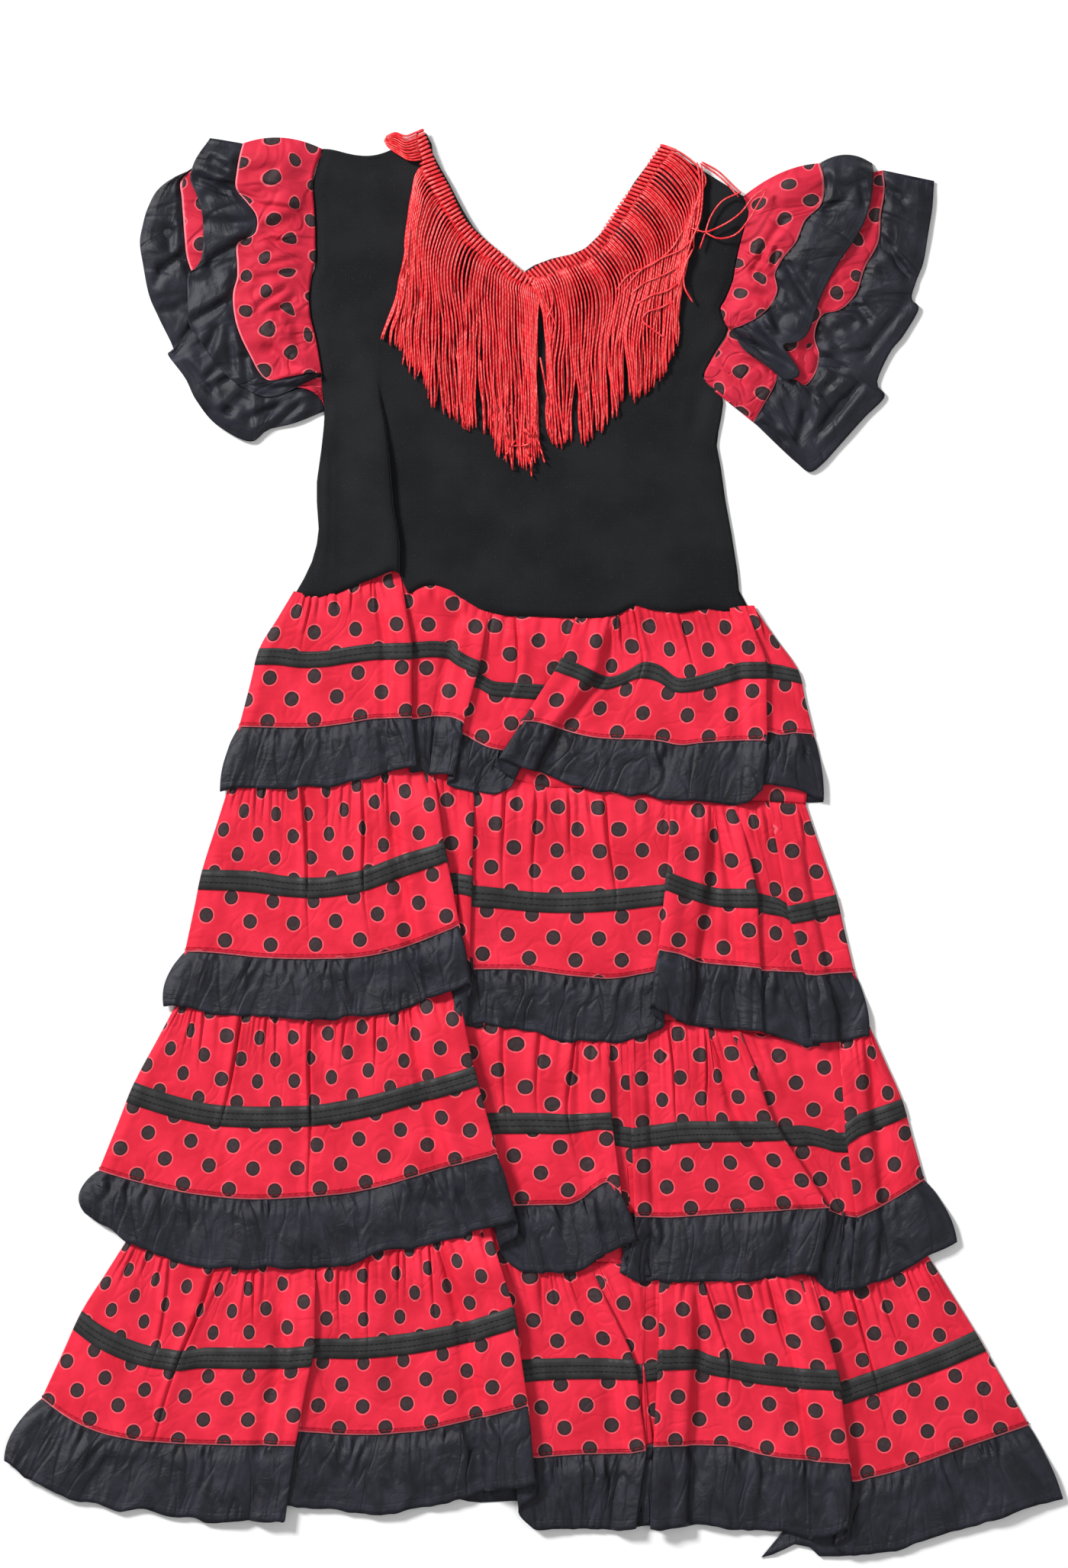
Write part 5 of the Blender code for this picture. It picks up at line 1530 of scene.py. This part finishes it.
FRINGE_RIGHT = (
    ((-6.5, 94.5), (-1.5, 101), (4, 116), (7, 147), (8, 200)),
    ((-2, 92.5), (4, 99), (6.5, 116), (8.5, 147), (10.5, 203)),
    ((2.5, 89.5), (10, 99), (15, 116), (12.5, 155), (16.5, 207)),
    ((9.5, 87), (16.5, 95.5), (21, 114.5), (23, 155), (23, 203)),
    ((16.5, 84.5), (23, 93.5), (29, 111.5), (29, 155), (34.5, 204)),
    ((23.5, 83), (30, 91), (37.5, 108), (37, 155), (38.5, 200)),
    ((30.5, 80.5), (37, 88), (46, 103.5), (44, 147), (44, 195)),
    ((37, 76), (44, 83), (54, 99), (49.5, 139.5), (54, 189)),
    ((42.5, 70.5), (50, 76), (61, 92.5), (56.5, 131.5), (57, 177)),
    ((47, 63.5), (55.5, 68.5), (68, 86.5), (62, 128.5), (63.5, 175)),
    ((51.5, 56.5), (61, 60.5), (74.5, 78.5), (69.5, 124), (66.5, 177)),
    ((56.5, 49), (65.5, 52.5), (80.5, 72), (77.5, 116), (74.5, 169)),
    ((62, 41.5), (71, 45), (87, 66), (84.5, 110), (82, 163)),
    ((67.5, 34), (76.5, 37), (93, 58), (91.5, 100.5), (90, 150)),
    ((73, 26), (82, 28.5), (98.5, 49), (96, 88), (94.5, 138)),
    ((78.5, 17.5), (88.5, 20), (104, 38), (100, 72), (94, 116)),
    ((83.5, 10.5), (94.5, 14.5), (109, 27), (109.5, 44), (106.5, 64.5)),
)
FRINGE_STRAP = (
    ((-72.5, 0.5), (-77, 2.5), (-84, 5), (-91, 3), (-96.5, 5.5)),
    ((-71.5, 3.5), (-77.5, 7), (-84.5, 9), (-91, 5.5), (-97.5, 6.5)),
    ((-70, 7), (-77, 11), (-84.5, 12.5), (-91, 9), (-98, 8)),
    ((-68.5, 12), (-76, 16), (-83.5, 17), (-90, 13), (-97.5, 9.5)),
    ((-66.5, 17), (-75, 20.5), (-82, 20.5), (-88.5, 17), (-96, 11)),
)
LOOSE = (
    # cords that lie over the others, as lines of (across, drop)
    ((104, 72), (97, 79), (84, 85), (69, 94), (58, 108)), ((94, 91), (83, 97), (73, 101), (63, 109)),
    ((91.5, 113), (82, 118), (73.5, 121), (71, 125), (78, 132), (85, 137)),
    ((98, 66), (90, 79), (76, 90), (62, 96), (54, 106)), ((96, 100), (88, 106), (76, 110), (66, 116)),
    ((104, 79), (98.5, 92), (98.5, 104), (104, 114)),
    ((110, 24), (110.5, 42), (108, 62), (103, 74), (97, 96), (92, 112)),
    ((107, 22), (109, 40), (106.5, 64)), ((7, 100), (11, 106), (11.5, 118), (8.5, 124), (11, 140)),
    ((4, 104), (9, 118), (14, 130), (12, 138)), ((-16, 186), (-7, 196), (0, 204)),
    ((-14, 208), (-4, 207), (2, 192)), ((-20, 194), (-16, 210), (-14, 224)),
    ((-8, 205), (-3, 215), (-1.5, 228)), ((-3, 196), (-12, 204), (-20, 217)),
    ((0, 190), (3, 205), (7, 219)), ((-81, 60), (-82.5, 80), (-84, 100), (-88, 120), (-93, 133)),
    ((-35, 152), (-33.5, 178), (-32.5, 201)), ((4, 150), (9, 178), (11, 204)),
)
THREADS = (
    ((110, 21.5), (120, 27), (126.5, 33), (135.5, 43)),
    ((109, 22.5), (119, 29), (125.5, 35), (134, 45)),
    ((135.5, 42), (123.5, 47.5), (116, 57.5), (112, 69), (108.5, 79)),
    ((103, 65.5), (112, 68), (121.5, 64.5), (135.5, 55.5), (145, 44), (152, 40), (147, 49.5), (141, 59.5),
     (131.5, 70), (119.5, 72), (112, 68)),
)
GAPS = (
    # across, where it starts and how wide it grows: partings between the cords
    (-35, 155, 4.5), (6.0, 102, 4.5), (26.5, 154, 4.0), (60.5, 136, 4.5), (49.0, 136, 2.2), (40, 163, 1.4),
    (-60, 168, 1.6), (-48, 172, 1.6), (-74, 150, 1.6), (-19, 196, 1.8), (17.5, 178, 1.4), (80, 146, 1.6),
)
LAYERS = (
    # the cords' rows, how many cords, seed, and how far they are lifted
    (FRINGE_LEFT, 56, 501, 1.3), (FRINGE_LEFT, 50, 502, 0), (FRINGE_RIGHT, 62, 503, 1.3),
    (FRINGE_RIGHT, 55, 504, 0), (FRINGE_STRAP, 11, 505, 0.6), (FRINGE_STRAP, 10, 506, 1.7),
)
CORD, THREAD, RIB = 0.70, 0.62, 1.22  # radii
RIB_PITCH = 2.8
OVER_SLEEVE = 10.4
CORD_SECTIONS = 30
CORD_SIDES = 6


def hung_cords(table, count, seed, loose=1.0):
    """Cords between the rows of a table: each goes off the ribs, turns down, hangs and ends.

    Neighbours sway together in bundles, and each sways a little by itself, more so further down.
    """
    random = np.random.default_rng(seed)
    rows = np.array(table, float)
    at = np.linspace(0, len(rows) - 1, count)
    neck, rib, turn, hang, end = np.moveaxis(spline(np.arange(len(rows)), rows, at), 1, 0)
    end = end + random.uniform(-1, 1, (count, 2)) * (1.2, 4.0) * loose
    path = np.array([neck + 0.7 * (rib - neck), rib + 0.1 * (turn - rib), turn, hang, end])
    knots = running(np.linalg.norm(np.diff(path, axis=0), axis=2).mean(axis=1))
    s = np.linspace(0, 1, CORD_SECTIONS)[:, None]
    path = spline(knots, path, s[:, 0] * knots[-1])
    number = at[None] * 4.4
    sway = 1.5 * ripple(s * 5 + number * 0.1, number * 0.28, seed + 1)
    sway += 0.75 * ripple(s * 9 + number * 1.3, number * 0.9, seed + 2)
    path[..., 0] += loose * smooth((s - 0.08) / 0.5) * sway
    return path


def loose_cords(table):
    """Cords along given lines, each drawn as a smooth curve."""
    made = []
    for line in table:
        points = np.array(line, float)
        knots = running(np.linalg.norm(np.diff(points, axis=0), axis=1))
        made.append(spline(knots, points, np.linspace(0, knots[-1], CORD_SECTIONS)))
    return np.stack(made, axis=1)


def tubes(path, height, radius):
    """Points, quads, caps and both maps of round cords: a ring of points about each section.

    The ring starts underneath. Its crown is halfway round, and U goes from 0 to 10 mm round it.
    """
    tangent = np.gradient(path, axis=0)
    tangent = tangent / np.maximum(np.linalg.norm(tangent, axis=-1, keepdims=True), 1e-9)
    angle = np.arange(CORD_SIDES) * 2 * math.pi / CORD_SIDES
    sections, count = path.shape[:2]
    thick = np.full((sections, count, 1), radius)
    thick[0], thick[-1] = radius * 0.6, radius * 0.55
    x = path[..., :1] - tangent[..., 1:] * np.sin(angle) * thick
    d = path[..., 1:] + tangent[..., :1] * np.sin(angle) * thick
    points = place(x, d, height[..., None] - np.cos(angle) * thick)
    index = np.arange(sections * count * CORD_SIDES).reshape(sections, count, CORD_SIDES)
    after = np.roll(index, -1, axis=2)
    quads = np.stack([index[:-1], after[:-1], after[1:], index[1:]], axis=-1).reshape(-1, 4)
    caps = np.concatenate([index[0][:, ::-1], index[-1]])
    run = np.cumsum(np.linalg.norm(np.diff(path, axis=0), axis=-1), axis=0)
    v = np.concatenate([np.zeros((1, count)), run])[..., None] * MM
    own = np.arange(count)[:, None] * 0.0131 + 0 * angle
    maps = [cut_of(u, v).reshape(-1, 2) for u in (angle / (2 * math.pi) * 0.01, own)]
    return points.reshape(-1, 3), quads, caps, *maps


def cord_finish():
    """Glossy red rayon cord: a loose twist, each cord a little lighter or darker, with a painted highlight
    along its crown and painted shade down its sides.
    """
    made, tree, shader = finish_of("red_rayon", 0.36, Specular_IOR_Level=0.4)
    u, v, _ = axes(tree, "cut")
    own_u, _, own = axes(tree, "print")
    each = node(tree, "TexWhiteNoise", {"W": own_u}, noise_dimensions="1D").outputs["Value"]
    cloud = ramp(tree, noise(tree, own, 160.0, 3.0), 0.35, 0.65)
    shade = blended(tree, each, (0.60, 0.006, 0.012, 1), (0.84, 0.020, 0.034, 1))
    # Painted shade: the colour darkens down the cord's sides, away from its crown, as if in shadow.
    side = away_from(tree, u, 0.0052)
    shade = blended(tree, ramp(tree, side, 0.0014, 0.0032, 0.0, 0.65), shade, (0.25, 0.001, 0.003, 1))
    # Painted highlight: a pale pink streak along the crown of each cord, broken up by the cloud noise.
    painted_crown_highlight = sums(tree, "MULTIPLY", ramp(tree, side, 0.0002, 0.0013, 0.7, 0.0), cloud)
    shade = blended(tree, painted_crown_highlight, shade, (1.0, 0.20, 0.18, 1))
    tree.links.new(shade, shader.inputs["Base Color"])
    turns = sums(tree, "MULTIPLY", v, 2 * math.pi / 0.0032)
    twist = sums(tree, "SINE", sums(tree, "ADD", turns, sums(tree, "MULTIPLY", u, 628.0)))
    bumped(tree, shader, twist, 0.12 * MM, 0.5)
    return made


def make_cords(name, parts, replaced):
    """One piece from sets of cords, each a path, its heights and its radius."""
    sets, start = [], 0
    for path, height, radius in parts:
        points, quads, caps, cut, own = tubes(path, height, radius)
        sets.append((points, quads + start, caps + start, cut, own + (start % 97) * 0.01))
        start += len(points)
    points, quads, caps, cut, own = (np.concatenate(group) for group in zip(*sets))
    return new_piece(name, points, [quads, caps], {"cut": cut, "print": own}, FRINGE_RED,
                     replaced)


def make_header():
    """The header: doubled cords side by side, square off the neckline."""
    parts = []
    for table, base in ((FRINGE_RIGHT, 4.1), (FRINGE_STRAP + FRINGE_LEFT, 4.6)):
        rows = np.array(table, float)[:, :2]
        knots = running(np.linalg.norm(np.diff(rows.mean(axis=1), axis=0), axis=1))
        s = np.linspace(0.4, knots[-1] - 0.4, int(knots[-1] / RIB_PITCH))
        neck, rib = np.moveaxis(spline(knots, rows, s), 1, 0)
        t = np.linspace(-0.05, 1.02, 8)[:, None]
        path = neck + (rib - neck) * t[..., None]
        height = base + 0.5 * np.sin(np.pi * np.clip(t, 0, 1)) - 0.8 * smooth((t - 0.7) / 0.3) + 0 * s
        parts.append((path, height, RIB))
    return make_cords("fringe_header_ribs", parts, "fringe_header")


def make_fringe():
    """All the cords: two layers from each arm of the header, those over the strap, and the loose ones."""
    on_bodice = lying_on(front_grids)
    parts = []
    s = np.linspace(0, 1, CORD_SECTIONS)[:, None]
    for table, count, seed, lift in LAYERS:
        path = hung_cords(table, count, seed, 0.2 if table is FRINGE_STRAP else 1.0)
        for across, begins, wide in GAPS:
            away = path[..., 0] - across
            grown = wide / 2 * smooth((path[..., 1] - begins) / 28)
            path[..., 0] += np.sign(away[-1:]) * grown * np.exp(-np.abs(away) / 7)
        number = np.arange(count)[None]
        over = 0.55 * (1 + ripple(s * 5 + number * 0.3, number * 0.7, seed + 9))
        over = over + lift * (1 - 0.5 * smooth((s - 0.8) / 0.2))
        height = np.maximum(on_bodice(path[..., 0], path[..., 1]), 2.6) + CORD + 0.3 + over
        height = height + (4.2 + 0.3 * (lift > 0) - height) * (1 - smooth(s / 0.1))
        parts.append((path, height, CORD))
    path = loose_cords(LOOSE)
    height = on_bodice(path[..., 0], path[..., 1]) + 3.9
    height = height - 1.0 * smooth((s - 0.8) / 0.2) - 0.8 * (1 - smooth(s / 0.15))
    parts.append((path, height, CORD))
    path = loose_cords(THREADS)
    height = np.maximum(on_bodice(path[..., 0], path[..., 1]) + 1.2, 1.6)
    height = height + (OVER_SLEEVE - height) * smooth((path[..., 0] - 128) / 12)
    number = np.arange(len(THREADS))[None]
    height = height + 0.9 * number * (number > 1)
    parts.append((path, height, THREAD))
    return make_cords("fringe_cords", parts, "fringe")


FRINGE_RED = cord_finish()
header_tape = make_header()
fringe_cords = make_fringe()
